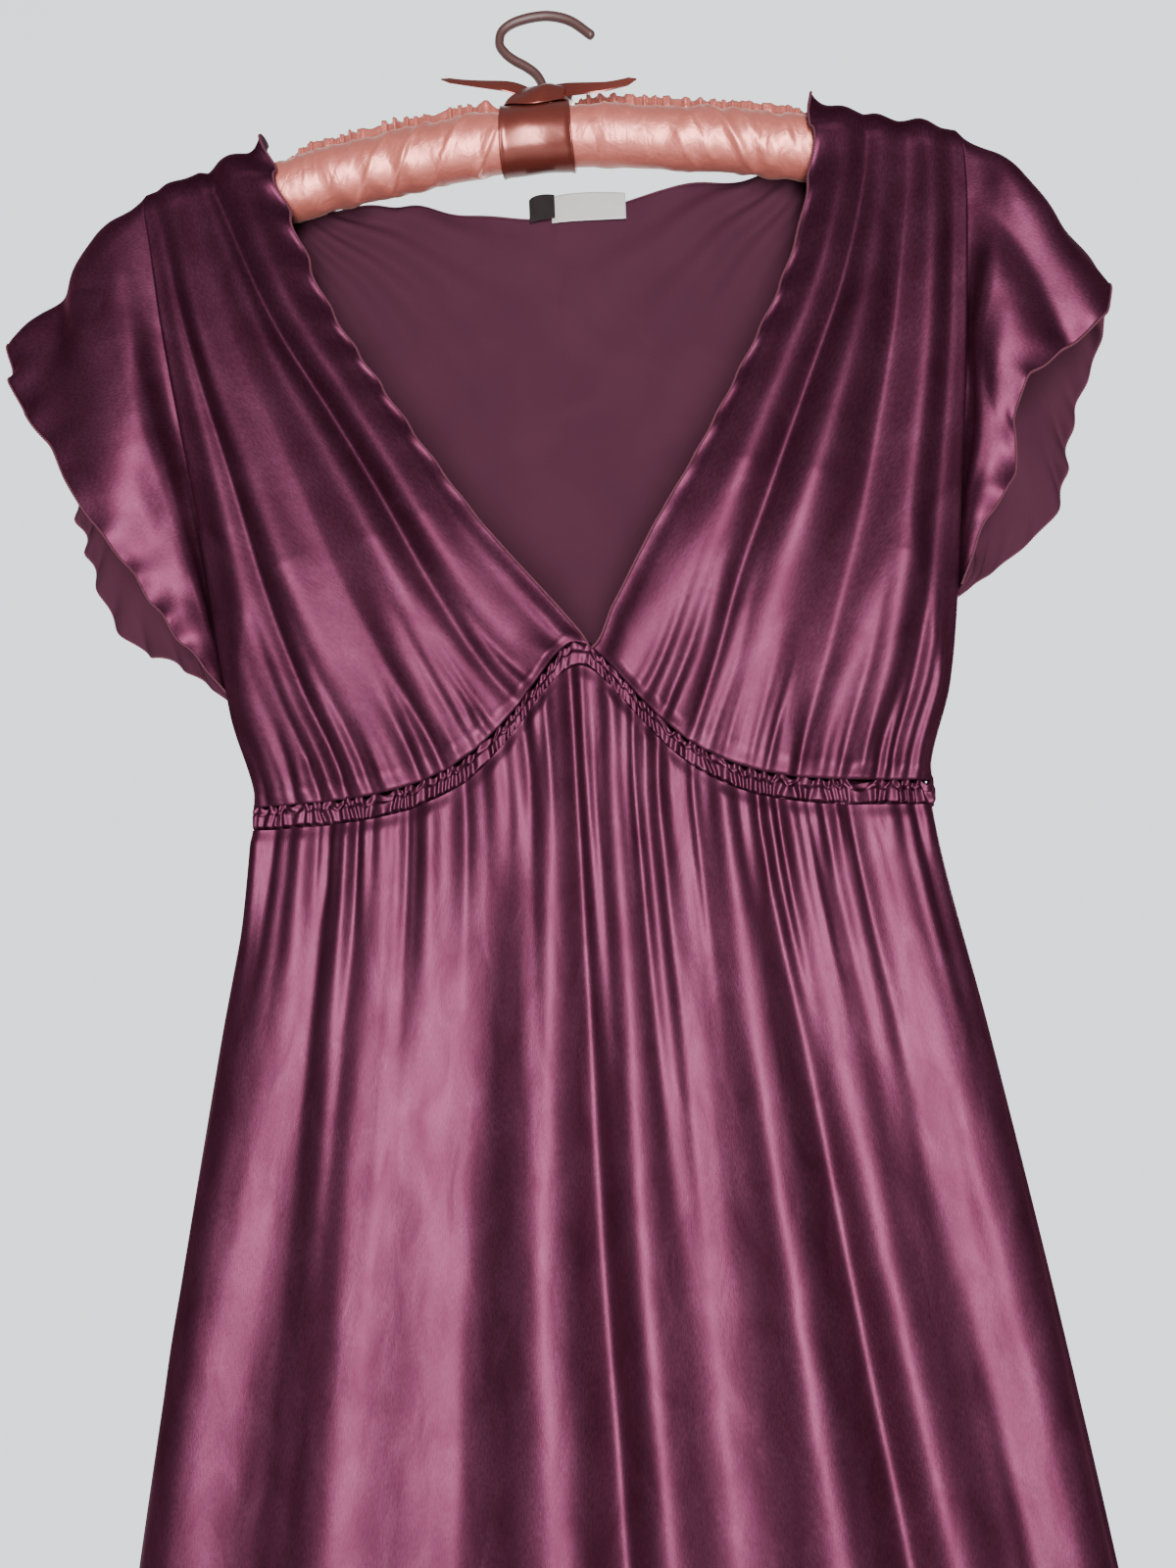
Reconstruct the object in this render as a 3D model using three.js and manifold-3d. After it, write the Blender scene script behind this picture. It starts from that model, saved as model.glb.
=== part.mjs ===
// A satin empire-line dress with flutter sleeves, hanging on a padded hanger with a swivel hook.
// Millimetres. +Z is up, X runs across the shoulders and -Y is the front of the dress.
// The origin is the underside of the hook's bend, where it rests on its rail. "left" is the -X side.

import * as THREE from "three";
import { mergeVertices } from "three/addons/utils/BufferGeometryUtils.js";
import Module from "manifold-3d";

// --- Driving dimensions ---------------------------------------------------------------------

const GAP = 0.4; // between pieces that touch on the real object
const SEAM_GAP = 1; // between cloth edges that are sewn to each other

// Hook
const WIRE_DIAMETER = 3.0;
const HOOK_TUBE_DIAMETER = 4.6; // soft tube over the wire
const HOOK_TUBE_WALL = 0.45;
const HOOK_REACH = 22; // half the width of the bend, on its centreline
const HOOK_DROP = 13; // from the bend's crown down to its widest place
const SWIVEL_CLEARANCE = 0.6;

// Hanger
const HANGER_LENGTH = 416;
const PAD_RADIUS = 14.5; // outside of the satin cover
const PAD_AXIS_DEPTH = 61.5; // below the origin, in the middle of the hanger
const ARM_DROOP = 36; // how far the pad's axis falls from the middle to the end
const DROOP_POWER = 1.6;
const COVER_THICKNESS = 0.8;
const CORE_WIDTH = 10;
const CORE_HEIGHT = 15;
const CORE_END_MARGIN = 22; // wadding past the end of the wooden core
const COVER_GAP = 3; // half the gap between the two covers, under the ribbon
const FRILL_HEIGHT = 7.5;
const FRILL_UNDER_DRESS = 2.2; // the frill is flattened where the dress lies on it
const FRILL_THICKNESS = 1.2;
const BAND_WIDTH = 40;
const BAND_THICKNESS = 0.8;
const KNOT_RADIUS = 6.5;
const KNOT_HEIGHT = 5;
const TAIL_LENGTH = 42;
const TAIL_WIDTH = 8;
const TAIL_THICKNESS = 0.7;
const TAIL_RISE = 10; // the stiff ends curl up over the frill

// Dress
const CLOTH = 1.4; // solid thickness that stands for the satin and its folds
const CASING_THICKNESS = 1.2;
const SHOULDER_CLEARANCE = 3; // cloth above the pad, over the flattened frill
const NECK_HALF = 138; // neckline corner at the shoulder
const NECK_FRONT_HALF = 126; // the same edge below the pad
const V_POINT_DEPTH = 320; // below the origin
const NECK_TURN = 4; // how far the neck edge still comes in just below the pad
const NECK_CURVE = 1.25; // above 1, the neck edges bow outwards
const BACK_NECK_DEPTH = 91;
const BACK_NECK_RISE = 12; // the back neckline rises this much towards the shoulders
const ARMHOLE_INSET = 8; // the hanger's end reaches this far past the sleeve seam at the shoulder
const UNDERARM_HALF = 176;
const UNDERARM_DEPTH = 345;
const WAIST_HALF = 165;
const WAIST_DEPTH = 393; // top of the casing at the side seams
const WAIST_PEAK_SPREAD = 48; // how quickly the front waist seam falls away from the V
const CASING_HEIGHT = 16;
const WAIST_HALF_DEPTH = 17; // half the front-to-back size of the waist
const SKIRT_LENGTH = 650; // from the casing to the hem at the sides
const HEM_HALF = 280;
const HEM_HALF_DEPTH = 62;
const SLEEVE_OUTREACH = 70; // from the sleeve seam at the shoulder to the tip of the sleeve
const SLEEVE_TIP_DEPTH = 160;
const SLEEVE_HALF_DEPTH = 30; // from the middle plane to the sleeve's front edge
const ELASTIC_HEIGHT = 10;
const ELASTIC_THICKNESS = 0.9;
const FACING_THICKNESS = 0.8;
const EDGE_DIAMETER = 1.5; // the rolled, overlocked edge
const BRAND_LABEL = { width: 44, height: 13, thickness: 0.6, rise: 6 };
const SIZE_LABEL = { width: 13, height: 12, thickness: 0.6, rise: 4 };

// --- Values that follow from them -----------------------------------------------------------

const HANGER_HALF = HANGER_LENGTH / 2;
const ARMHOLE_HALF = HANGER_HALF - ARMHOLE_INSET;
const SLEEVE_REACH = ARMHOLE_HALF + SLEEVE_OUTREACH;
const DRAPE_RADIUS = PAD_RADIUS + SHOULDER_CLEARANCE + CLOTH / 2;
const HOOK_TUBE_RADIUS = HOOK_TUBE_DIAMETER / 2;
const BAND_INNER = PAD_RADIUS + 2 * GAP;
const BAND_OUTER = BAND_INNER + BAND_THICKNESS;
const KNOT_BASE = -PAD_AXIS_DEPTH + BAND_OUTER + GAP;
const HEM_DEPTH = WAIST_DEPTH + CASING_HEIGHT + SKIRT_LENGTH;

// --- Ways to make closed solids -------------------------------------------------------------

const wasm = await Module();
wasm.setup();

/** A BufferGeometry from points and triangles, turned so that its faces point out. */
function closedGeometry(points, triangles) {
  let volume = 0;
  for (const [a, b, c] of triangles) {
    volume += points[a].dot(new THREE.Vector3().crossVectors(points[b], points[c]));
  }
  const facingOut = volume < 0 ? triangles.map(([a, b, c]) => [a, c, b]) : triangles;
  return new THREE.BufferGeometry()
    .setAttribute("position", new THREE.Float32BufferAttribute(points.flatMap((p) => p.toArray()), 3))
    .setIndex(facingOut.flat());
}

/** Two triangles for each cell between two rows of points. */
function strip(rowA, rowB, closed = false) {
  const triangles = [];
  const cells = closed ? rowA.length : rowA.length - 1;
  for (let i = 0; i < cells; i += 1) {
    const j = (i + 1) % rowA.length;
    triangles.push([rowA[i], rowA[j], rowB[j]], [rowA[i], rowB[j], rowB[i]]);
  }
  return triangles;
}

/** A closed solid of even thickness, at an offset from the surface at(u, v). A ring joins u = 1 to u = 0. */
function sheet({ at, columns, rows, thickness, offset = 0, ring = false }) {
  const across = ring ? columns : columns + 1;
  const step = 1e-3;
  const points = [];
  const index = (side, i, j) => (side * (rows + 1) + j) * across + i;
  for (const side of [-1, 1]) {
    for (let j = 0; j <= rows; j += 1) {
      for (let i = 0; i < across; i += 1) {
        const [u, v] = [i / columns, j / rows];
        const [uLow, uHigh] = ring ? [u - step, u + step] : [Math.max(0, u - step), Math.min(1, u + step)];
        const alongU = at(uHigh, v).sub(at(uLow, v));
        const alongV = at(u, Math.min(1, v + step)).sub(at(u, Math.max(0, v - step)));
        const normal = alongU.cross(alongV).normalize();
        points.push(at(u, v).addScaledVector(normal, offset + (side * thickness) / 2));
      }
    }
  }
  const row = (side, j) => Array.from({ length: across }, (_, i) => index(side, i, j));
  const column = (side, i) => Array.from({ length: rows + 1 }, (_, j) => index(side, i, j));
  const triangles = [];
  for (let j = 0; j < rows; j += 1) {
    triangles.push(...strip(row(0, j), row(0, j + 1), ring));
    triangles.push(...strip(row(1, j + 1), row(1, j), ring));
  }
  triangles.push(...strip(row(1, 0), row(0, 0), ring), ...strip(row(0, rows), row(1, rows), ring));
  if (!ring) {
    triangles.push(...strip(column(0, 0), column(1, 0)), ...strip(column(1, columns), column(0, columns)));
  }
  return closedGeometry(points, triangles);
}

/** A closed solid through rings of points, with a flat end at each side. */
function loft(rings) {
  const count = rings[0].length;
  const points = rings.flat();
  const ringIndex = (k) => Array.from({ length: count }, (_, i) => k * count + i);
  const triangles = [];
  for (let k = 0; k + 1 < rings.length; k += 1) {
    triangles.push(...strip(ringIndex(k), ringIndex(k + 1), true));
  }
  const cap = (k, reversed) => {
    const centre = points.length;
    points.push(rings[k].reduce((sum, p) => sum.add(p), new THREE.Vector3()).divideScalar(count));
    const around = ringIndex(k);
    around.forEach((a, i) => {
      const b = around[(i + 1) % count];
      triangles.push(reversed ? [centre, b, a] : [centre, a, b]);
    });
  };
  cap(0, true);
  cap(rings.length - 1, false);
  return closedGeometry(points, triangles);
}

/** A rod, or a tube when it has a bore, along a smooth line through the points. */
function rod({ points, radius, bore = 0, sides = 8, steps = 24 }) {
  const section = new THREE.Shape(circlePoints(radius, sides));
  if (bore > 0) {
    section.holes.push(new THREE.Path(circlePoints(bore, sides).reverse()));
  }
  return new THREE.ExtrudeGeometry(section, {
    steps,
    curveSegments: 1,
    extrudePath: new THREE.CatmullRomCurve3(points, false, "centripetal"),
  });
}

function circlePoints(radius, sides) {
  return Array.from({ length: sides }, (_, i) => {
    const angle = (2 * Math.PI * i) / sides;
    return new THREE.Vector2(radius * Math.cos(angle), radius * Math.sin(angle));
  });
}

/** The solid that manifold-3d needs, from any closed geometry. */
function solidOf(geometry) {
  const bare = new THREE.BufferGeometry().setAttribute("position", geometry.getAttribute("position").clone());
  bare.setIndex(geometry.index);
  const merged = mergeVertices(bare, 1e-3);
  return new wasm.Manifold(
    new wasm.Mesh({
      numProp: 3,
      vertProperties: new Float32Array(merged.getAttribute("position").array),
      triVerts: new Uint32Array(merged.index.array),
    }),
  );
}

/** The first geometry with all the others cut away. */
function cut(body, ...tools) {
  const mesh = tools.reduce((left, tool) => left.subtract(solidOf(tool)), solidOf(body)).getMesh();
  return new THREE.BufferGeometry()
    .setAttribute("position", new THREE.BufferAttribute(new Float32Array(mesh.vertProperties), 3))
    .setIndex(new THREE.BufferAttribute(new Uint32Array(mesh.triVerts), 1));
}

const root = new THREE.Group();

const MATERIALS = {
  wire: new THREE.MeshStandardMaterial({ color: 0x8f8a88, roughness: 0.35, metalness: 1 }),
  hook_tube: new THREE.MeshStandardMaterial({ color: 0x8a5a58, roughness: 0.5 }),
  beech: new THREE.MeshStandardMaterial({ color: 0xc79a6b, roughness: 0.6 }),
  wadding: new THREE.MeshStandardMaterial({ color: 0xf0ece4, roughness: 0.95 }),
  coral_satin: new THREE.MeshStandardMaterial({ color: 0xd98a7c, roughness: 0.4 }),
  coral_ribbon: new THREE.MeshStandardMaterial({ color: 0xbb6258, roughness: 0.3 }),
  plum_satin: new THREE.MeshStandardMaterial({ color: 0x7a4460, roughness: 0.45, side: THREE.DoubleSide }),
  plum_thread: new THREE.MeshStandardMaterial({ color: 0x6b4552, roughness: 0.8 }),
  elastic: new THREE.MeshStandardMaterial({ color: 0xe8e4de, roughness: 0.9 }),
  label_grey: new THREE.MeshStandardMaterial({ color: 0xc9c9c9, roughness: 0.6 }),
  label_black: new THREE.MeshStandardMaterial({ color: 0x2a2528, roughness: 0.6 }),
};

function add(name, geometry, material, group) {
  const mesh = new THREE.Mesh(geometry, MATERIALS[material]);
  mesh.name = name;
  group.add(mesh);
}

const SIDES = [
  ["left", -1],
  ["right", 1],
];
const mix = (a, b, t) => a + (b - a) * t;
const smooth = (t) => t * t * (3 - 2 * t);

// --- The hanger's shared shape --------------------------------------------------------------

/** Height of the pad's axis at x. */
function axisHeight(x) {
  return -PAD_AXIS_DEPTH - ARM_DROOP * (Math.abs(x) / HANGER_HALF) ** DROOP_POWER;
}

/** Radius of a pad at x that ends in a half ball at the given length. */
function padRadius(x, radius, length) {
  const past = Math.max(0, (Math.abs(x) - (length - radius)) / radius);
  return radius * Math.sqrt(Math.max(0.004, 1 - past * past));
}

/** One arm of the pad as a solid of the given radius, from x = start to its rounded end. */
function padArm(side, radius, start, length) {
  const sides = 16;
  const straight = [0, 0.2, 0.4, 0.6, 0.8, 1].map((t) => mix(start, length - radius, t));
  const rounded = [0.35, 0.65, 0.87, 1].map((t) => length - radius + radius * t);
  return loft(
    [...straight, ...rounded].map((x) => {
      const r = padRadius(x, radius, length);
      return circlePoints(r, sides).map((p) => new THREE.Vector3(side * x, p.x, axisHeight(x) + p.y));
    }),
  );
}

/** The wooden core, or the room for it, with a margin all round. */
function coreBar(halfLength, margin) {
  const [w, h] = [CORE_WIDTH / 2 + margin, CORE_HEIGHT / 2 + margin];
  const stations = 16;
  return loft(
    Array.from({ length: stations + 1 }, (_, k) => {
      const x = mix(-halfLength - margin, halfLength + margin, k / stations);
      return [
        [-w, -h],
        [w, -h],
        [w, h],
        [-w, h],
      ].map(([y, z]) => new THREE.Vector3(x, y, axisHeight(x) + z));
    }),
  );
}

/** An upright cylinder about the swivel axis, between two heights. */
function uprightCylinder(radius, low, high, sides = 16) {
  const cylinder = new THREE.CylinderGeometry(radius, radius, high - low, sides);
  cylinder.rotateX(Math.PI / 2);
  cylinder.translate(0, 0, (low + high) / 2);
  return cylinder;
}

/** A round washer or sleeve about the swivel axis. */
function uprightRing(inner, outer, low, high, sides = 16) {
  const profile = [
    [inner, low],
    [outer, low],
    [outer, high],
    [inner, high],
    [inner, low],
  ].map(([r, z]) => new THREE.Vector2(r, z));
  const ring = new THREE.LatheGeometry(profile, sides);
  ring.rotateX(Math.PI / 2);
  return ring;
}

// --- Hook -----------------------------------------------------------------------------------

const CORE_BOTTOM = -PAD_AXIS_DEPTH - CORE_HEIGHT / 2;
const RECESS_DEPTH = 4; // in the core's underside, for the washer and the wire's head
const WASHER_THICKNESS = 1;
const HEAD_THICKNESS = 1.4;
const RECESS_TOP = CORE_BOTTOM + RECESS_DEPTH;

function makeHook() {
  const hook = new THREE.Group();
  const crown = HOOK_TUBE_RADIUS;
  const low = -PAD_AXIS_DEPTH + BAND_OUTER + KNOT_HEIGHT / 2; // where the tube starts, inside the knot
  // The bend, from the shank up round to the tip: shares of the hook's reach and drop.
  const bend = [
    [-0.03, -2.75],
    [-0.18, -2.33],
    [-0.41, -1.98],
    [-0.66, -1.7],
    [-0.87, -1.38],
    [-1.0, -0.96],
    [-0.95, -0.54],
    [-0.74, -0.24],
    [-0.4, -0.06],
    [0, 0],
    [0.37, -0.1],
    [0.67, -0.32],
    [1.1, -0.92],
  ].map(([x, z]) => new THREE.Vector3(x * HOOK_REACH, 0, crown + z * HOOK_DROP));
  const tubeLine = [new THREE.Vector3(0, 0, low), new THREE.Vector3(0, 0, KNOT_BASE + KNOT_HEIGHT), ...bend];
  const wireLine = [
    new THREE.Vector3(0, 0, RECESS_TOP - WASHER_THICKNESS - 2 * GAP),
    new THREE.Vector3(0, 0, mix(CORE_BOTTOM, low, 0.5)),
    ...tubeLine,
  ];
  const bore = HOOK_TUBE_RADIUS - HOOK_TUBE_WALL;
  add("hook_tube", rod({ points: tubeLine, radius: HOOK_TUBE_RADIUS, bore, steps: 36 }), "hook_tube", hook);
  add("hook_wire", rod({ points: wireLine, radius: WIRE_DIAMETER / 2, steps: 44 }), "wire", hook);
  const washerTop = RECESS_TOP - GAP;
  const washerLow = washerTop - WASHER_THICKNESS;
  add(
    "hook_washer",
    uprightRing(WIRE_DIAMETER / 2 + GAP, WIRE_DIAMETER / 2 + 2.4, washerLow, washerTop),
    "wire",
    hook,
  );
  const headTop = washerLow - 2 * GAP;
  add("hook_head", uprightCylinder(WIRE_DIAMETER / 2 + 1, headTop - HEAD_THICKNESS, headTop), "wire", hook);
  return hook;
}

// --- Hanger ---------------------------------------------------------------------------------

function makeHanger() {
  const hanger = new THREE.Group();
  const shankHole = WIRE_DIAMETER / 2 + SWIVEL_CLEARANCE;
  const tubeHole = HOOK_TUBE_RADIUS + SWIVEL_CLEARANCE;
  const coreHalf = HANGER_HALF - CORE_END_MARGIN;
  const recessRadius = WIRE_DIAMETER / 2 + 2.4 + SWIVEL_CLEARANCE;
  add(
    "core",
    cut(
      coreBar(coreHalf, 0),
      uprightCylinder(shankHole, CORE_BOTTOM - 5, CORE_BOTTOM + CORE_HEIGHT + 5),
      uprightCylinder(recessRadius, CORE_BOTTOM - 5, RECESS_TOP),
    ),
    "beech",
    hanger,
  );
  const waddingRadius = PAD_RADIUS - COVER_THICKNESS - GAP;
  const waddingEnd = HANGER_HALF - COVER_THICKNESS - GAP;
  const coreRoom = coreBar(coreHalf, GAP);
  for (const [name, side] of SIDES) {
    add(
      `wadding_${name}`,
      cut(padArm(side, waddingRadius, COVER_GAP, waddingEnd), coreRoom),
      "wadding",
      hanger,
    );
    const coverInside = PAD_RADIUS - COVER_THICKNESS;
    add(
      `cover_${name}`,
      cut(
        padArm(side, PAD_RADIUS, COVER_GAP, HANGER_HALF),
        padArm(side, coverInside, COVER_GAP - 1, HANGER_HALF - COVER_THICKNESS),
      ),
      "coral_satin",
      hanger,
    );
    add(`cover_frill_${name}`, frill(side), "coral_satin", hanger);
    add(`ribbon_tail_${name}`, tail(side), "coral_ribbon", hanger);
  }
  const bandHole = uprightCylinder(tubeHole, -PAD_AXIS_DEPTH, KNOT_BASE + 5);
  add("ribbon_band", cut(bandRing(BAND_OUTER, 0), bandRing(BAND_INNER, 1), bandHole), "coral_ribbon", hanger);
  add(
    "ribbon_knot",
    uprightRing(tubeHole, KNOT_RADIUS, KNOT_BASE, KNOT_BASE + KNOT_HEIGHT),
    "coral_ribbon",
    hanger,
  );
  return hanger;
}

/** The ribbon's round band about the pad, or the room inside it, which runs past both edges. */
function bandRing(radius, past) {
  const half = BAND_WIDTH / 2 + past;
  return loft(
    [-1, -0.5, 0, 0.5, 1].map((t) =>
      circlePoints(radius, 20).map((p) => new THREE.Vector3(t * half, p.x, axisHeight(t * half) + p.y)),
    ),
  );
}

/** The gathered seam that stands along the top of one arm. */
function frill(side) {
  const start = BAND_WIDTH / 2 + 1.5;
  const end = HANGER_HALF - PAD_RADIUS;
  const height = (x) => mix(FRILL_HEIGHT, FRILL_UNDER_DRESS, smooth(THREE.MathUtils.clamp((x - NECK_HALF + 14) / 8, 0, 1)));
  return sheet({
    at: (u, v) => {
      const x = mix(start, end, u);
      return new THREE.Vector3(side * x, 0, axisHeight(x) + PAD_RADIUS + GAP + v * height(x));
    },
    columns: 22,
    rows: 1,
    thickness: FRILL_THICKNESS,
  });
}

/** One free end of the narrow bow ribbon, lying above the frill. */
function tail(side) {
  const start = KNOT_RADIUS + GAP;
  const base = KNOT_BASE + KNOT_HEIGHT - TAIL_THICKNESS;
  return sheet({
    at: (u, v) => {
      const x = start + u * TAIL_LENGTH;
      const rise = TAIL_RISE * u ** 1.2;
      return new THREE.Vector3(side * x, (v - 0.5) * TAIL_WIDTH * (1 - 0.55 * u), base + rise);
    },
    columns: 6,
    rows: 1,
    thickness: TAIL_THICKNESS,
  });
}

// --- The dress's shared lines ---------------------------------------------------------------

/** Height of the top of the waist casing. The front seam climbs to the V; the back one is level. */
function waistHeight(x, isFront) {
  if (!isFront) {
    return -WAIST_DEPTH;
  }
  const fall = (distance) => Math.exp(-((distance / WAIST_PEAK_SPREAD) ** 1.15));
  const share = (fall(Math.abs(x)) - fall(WAIST_HALF)) / (1 - fall(WAIST_HALF));
  return -WAIST_DEPTH + (WAIST_DEPTH - V_POINT_DEPTH) * Math.max(0, share);
}

/** Share of the full depth that a panel has at x, falling to nothing at the side seam. */
function roundness(share, power = 2.6) {
  return Math.max(0, 1 - Math.min(1, Math.abs(share)) ** power) ** (1 / power);
}

/** Where the free neck edge is, as x for a height below the pad. */
function frontNeckHalf(z) {
  const top = -PAD_AXIS_DEPTH - 43;
  const t = THREE.MathUtils.clamp((top - z) / (V_POINT_DEPTH + top), 0, 1);
  return NECK_FRONT_HALF * (1 - t ** NECK_CURVE);
}

/** x of the armhole and side seam at a height. */
function sideHalf(z) {
  const shoulder = axisHeight(ARMHOLE_HALF);
  if (z > -UNDERARM_DEPTH) {
    return mix(ARMHOLE_HALF, UNDERARM_HALF, THREE.MathUtils.clamp((shoulder - z) / (UNDERARM_DEPTH + shoulder), 0, 1));
  }
  return mix(UNDERARM_HALF, WAIST_HALF, THREE.MathUtils.clamp((-UNDERARM_DEPTH - z) / (WAIST_DEPTH - UNDERARM_DEPTH), 0, 1));
}

/** Distance of a bodice panel from the middle plane at a place on it. */
function bodiceDepth(x, z) {
  const side = sideHalf(z);
  const shoulder = axisHeight(ARMHOLE_HALF);
  const down = THREE.MathUtils.clamp((shoulder - z) / (WAIST_DEPTH + shoulder), 0, 1);
  const middle = mix(DRAPE_RADIUS, WAIST_HALF_DEPTH, down) + 5 * Math.sin(Math.PI * down);
  const closing = smooth(THREE.MathUtils.clamp((shoulder - z) / (UNDERARM_DEPTH + shoulder), 0, 1));
  const edge = mix(1, roundness(x / side, 3.2), closing);
  return GAP / 2 + CLOTH / 2 + (middle - GAP / 2 - CLOTH / 2) * edge;
}

const SEAM_ALLOWANCE = GAP / 2; // half the gap where front and back meet

/** A place on the cloth that wraps over the pad: angle 0 is the shoulder seam, 90 degrees hangs free. */
function overPad(x, angle, facing) {
  const start = SEAM_ALLOWANCE / DRAPE_RADIUS;
  const turned = mix(start, Math.PI / 2, angle);
  const y = facing * DRAPE_RADIUS * Math.sin(turned);
  return new THREE.Vector3(x, y, axisHeight(x) + DRAPE_RADIUS * Math.cos(turned));
}

const WAIST_BLEND = 6; // how late the front panels' rows turn into the curve of the waist
const WRAP_SHARE = 0.25; // share of a bodice panel's rows that lie on the pad
const SHOULDER_SHARE = 0.3; // share of half the back's columns along the shoulder seam
const CORNER_SHARE = 0.36; // share of the rest that turns down behind the pad

/** A front bodice panel: u from the neck edge to the side, v from the shoulder to the waist. */
function frontPanel(side) {
  return (u, v) => {
    if (v <= WRAP_SHARE) {
      const angle = v / WRAP_SHARE;
      const neck = mix(NECK_HALF, NECK_FRONT_HALF + NECK_TURN, angle);
      return overPad(side * mix(neck, ARMHOLE_HALF, u), angle, -1);
    }
    const t = (v - WRAP_SHARE) / (1 - WRAP_SHARE);
    const neckZ = mix(axisHeight(NECK_FRONT_HALF), -V_POINT_DEPTH + SEAM_GAP, t);
    const neckX = mix(NECK_FRONT_HALF + NECK_TURN, NECK_FRONT_HALF, Math.min(1, t * 5));
    const inner = Math.max(SEAM_ALLOWANCE * 2, Math.min(neckX, frontNeckHalf(neckZ)));
    const outerZ = mix(axisHeight(ARMHOLE_HALF), -WAIST_DEPTH + SEAM_GAP, t);
    const outer = sideHalf(outerZ);
    const x = mix(inner, outer, u);
    const chord = mix(-V_POINT_DEPTH, -WAIST_DEPTH, u); // the straight line under the panel's lower corners
    const z = mix(neckZ, outerZ, u) + (waistHeight(x, true) - chord) * t ** WAIST_BLEND;
    return new THREE.Vector3(side * x, -bodiceDepth(x, z), z);
  };
}

/**
 * The back bodice's top border, for u from the left armhole to the right one. It follows the shoulder seam,
 * turns down behind the pad at the neck corner and runs along the back neckline.
 */
function backBorder(u) {
  const side = u < 0.5 ? -1 : 1;
  const inwards = 1 - Math.abs(2 * u - 1); // 0 at the armhole, 1 at the centre back
  if (inwards < SHOULDER_SHARE) {
    return { x: side * mix(ARMHOLE_HALF, NECK_HALF, inwards / SHOULDER_SHARE), angle: 0, drop: 0 };
  }
  const t = (inwards - SHOULDER_SHARE) / (1 - SHOULDER_SHARE);
  const turn = Math.min(1, t / CORNER_SHARE);
  const x = mix(mix(NECK_HALF, NECK_FRONT_HALF, turn), 0, Math.max(0, (t - CORNER_SHARE) / (1 - CORNER_SHARE)));
  const neckline = -BACK_NECK_DEPTH + BACK_NECK_RISE * (x / NECK_FRONT_HALF) ** 2;
  return { x: side * x, angle: turn, drop: turn < 1 ? 0 : Math.max(0, axisHeight(x) - neckline) };
}

/** The back bodice: u across it, v from the shoulder or the neckline to the waist. */
function backPanel(u, v) {
  const border = backBorder(u);
  const arc = (DRAPE_RADIUS * Math.PI * (1 - border.angle)) / 2;
  const top = axisHeight(border.x) - border.drop;
  const fall = top + WAIST_DEPTH - SEAM_GAP;
  const near = (DRAPE_RADIUS * Math.PI) / 2; // the rows are closer together where the cloth bends over the pad
  const travelled = v < WRAP_SHARE ? (v / WRAP_SHARE) * near : mix(near, arc + fall, (v - WRAP_SHARE) / (1 - WRAP_SHARE));
  if (travelled < arc) {
    return overPad(border.x, border.angle + (travelled / arc) * (1 - border.angle), 1);
  }
  const z = top - (travelled - arc);
  const limit = sideHalf(z);
  const down = (travelled - arc) / fall;
  const spread = mix(border.x, (2 * u - 1) * limit, smooth(Math.min(1, down * 1.5)));
  const x = THREE.MathUtils.clamp(spread, -limit, limit);
  return new THREE.Vector3(x, bodiceDepth(x, z), z);
}

// --- Sleeves --------------------------------------------------------------------------------

const SLEEVE_TOP = 0.5; // share of the armhole at the shoulder point
const SLEEVE_SEAM = CLOTH + SEAM_GAP; // from the bodice's side border to the sleeve's own
const UNDERARM_WIDTH = 3; // what is left of the sleeve at the underarm

/** The armhole seam from the front underarm (0), over the shoulder (0.5), to the back one (1). */
function armhole(a, side) {
  const facing = a < SLEEVE_TOP ? -1 : 1;
  const down = Math.abs(a - SLEEVE_TOP) / SLEEVE_TOP;
  const wrap = 0.16; // share of the seam that lies over the pad
  const x = ARMHOLE_HALF + SLEEVE_SEAM;
  if (down < wrap) {
    return overPad(side * x, down / wrap, facing);
  }
  const z = mix(axisHeight(ARMHOLE_HALF), -UNDERARM_DEPTH, (down - wrap) / (1 - wrap));
  const half = sideHalf(z);
  return new THREE.Vector3(side * (half + SLEEVE_SEAM), facing * bodiceDepth(half, z), z);
}

/** The sleeve's free edge, over the same shares. */
function sleeveHem(a, side) {
  const facing = a < SLEEVE_TOP ? -1 : 1;
  const down = Math.abs(a - SLEEVE_TOP) / SLEEVE_TOP;
  const z = mix(-SLEEVE_TIP_DEPTH, -UNDERARM_DEPTH, down ** 1.3);
  const taper = 1 - down ** 1.15;
  const x = mix(UNDERARM_HALF + SLEEVE_SEAM + UNDERARM_WIDTH, SLEEVE_REACH, taper);
  const y = facing * (SLEEVE_HALF_DEPTH * Math.sin(Math.PI * down ** 0.7) + 2 * down);
  return new THREE.Vector3(side * x, y, z);
}

/** A sleeve: u along the armhole, v from the seam to the free edge, with a rounded cap. */
function sleeve(side) {
  return (u, v) => {
    const place = armhole(u, side).lerp(sleeveHem(u, side), v);
    const down = Math.abs(u - SLEEVE_TOP) / SLEEVE_TOP;
    const bulge = 14 * Math.sin(Math.PI * v) * (1 - down);
    return place.add(new THREE.Vector3(side * bulge * 0.7, 0, bulge * 0.7));
  };
}

// --- Waist and skirt ------------------------------------------------------------------------

/** The waist ring's middle surface: u around it, v down the given height from the given drop. */
function waistRing(height, drop) {
  return (u, v) => {
    const angle = 2 * Math.PI * u;
    const across = Math.sign(Math.cos(angle)) * Math.abs(Math.cos(angle)) ** 0.8;
    const isFront = Math.sin(angle) < 0;
    const depth = WAIST_HALF_DEPTH * roundness(across);
    const z = waistHeight(across * WAIST_HALF, isFront) - drop - v * height;
    return new THREE.Vector3(across * WAIST_HALF, isFront ? -depth : depth, z);
  };
}

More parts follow.
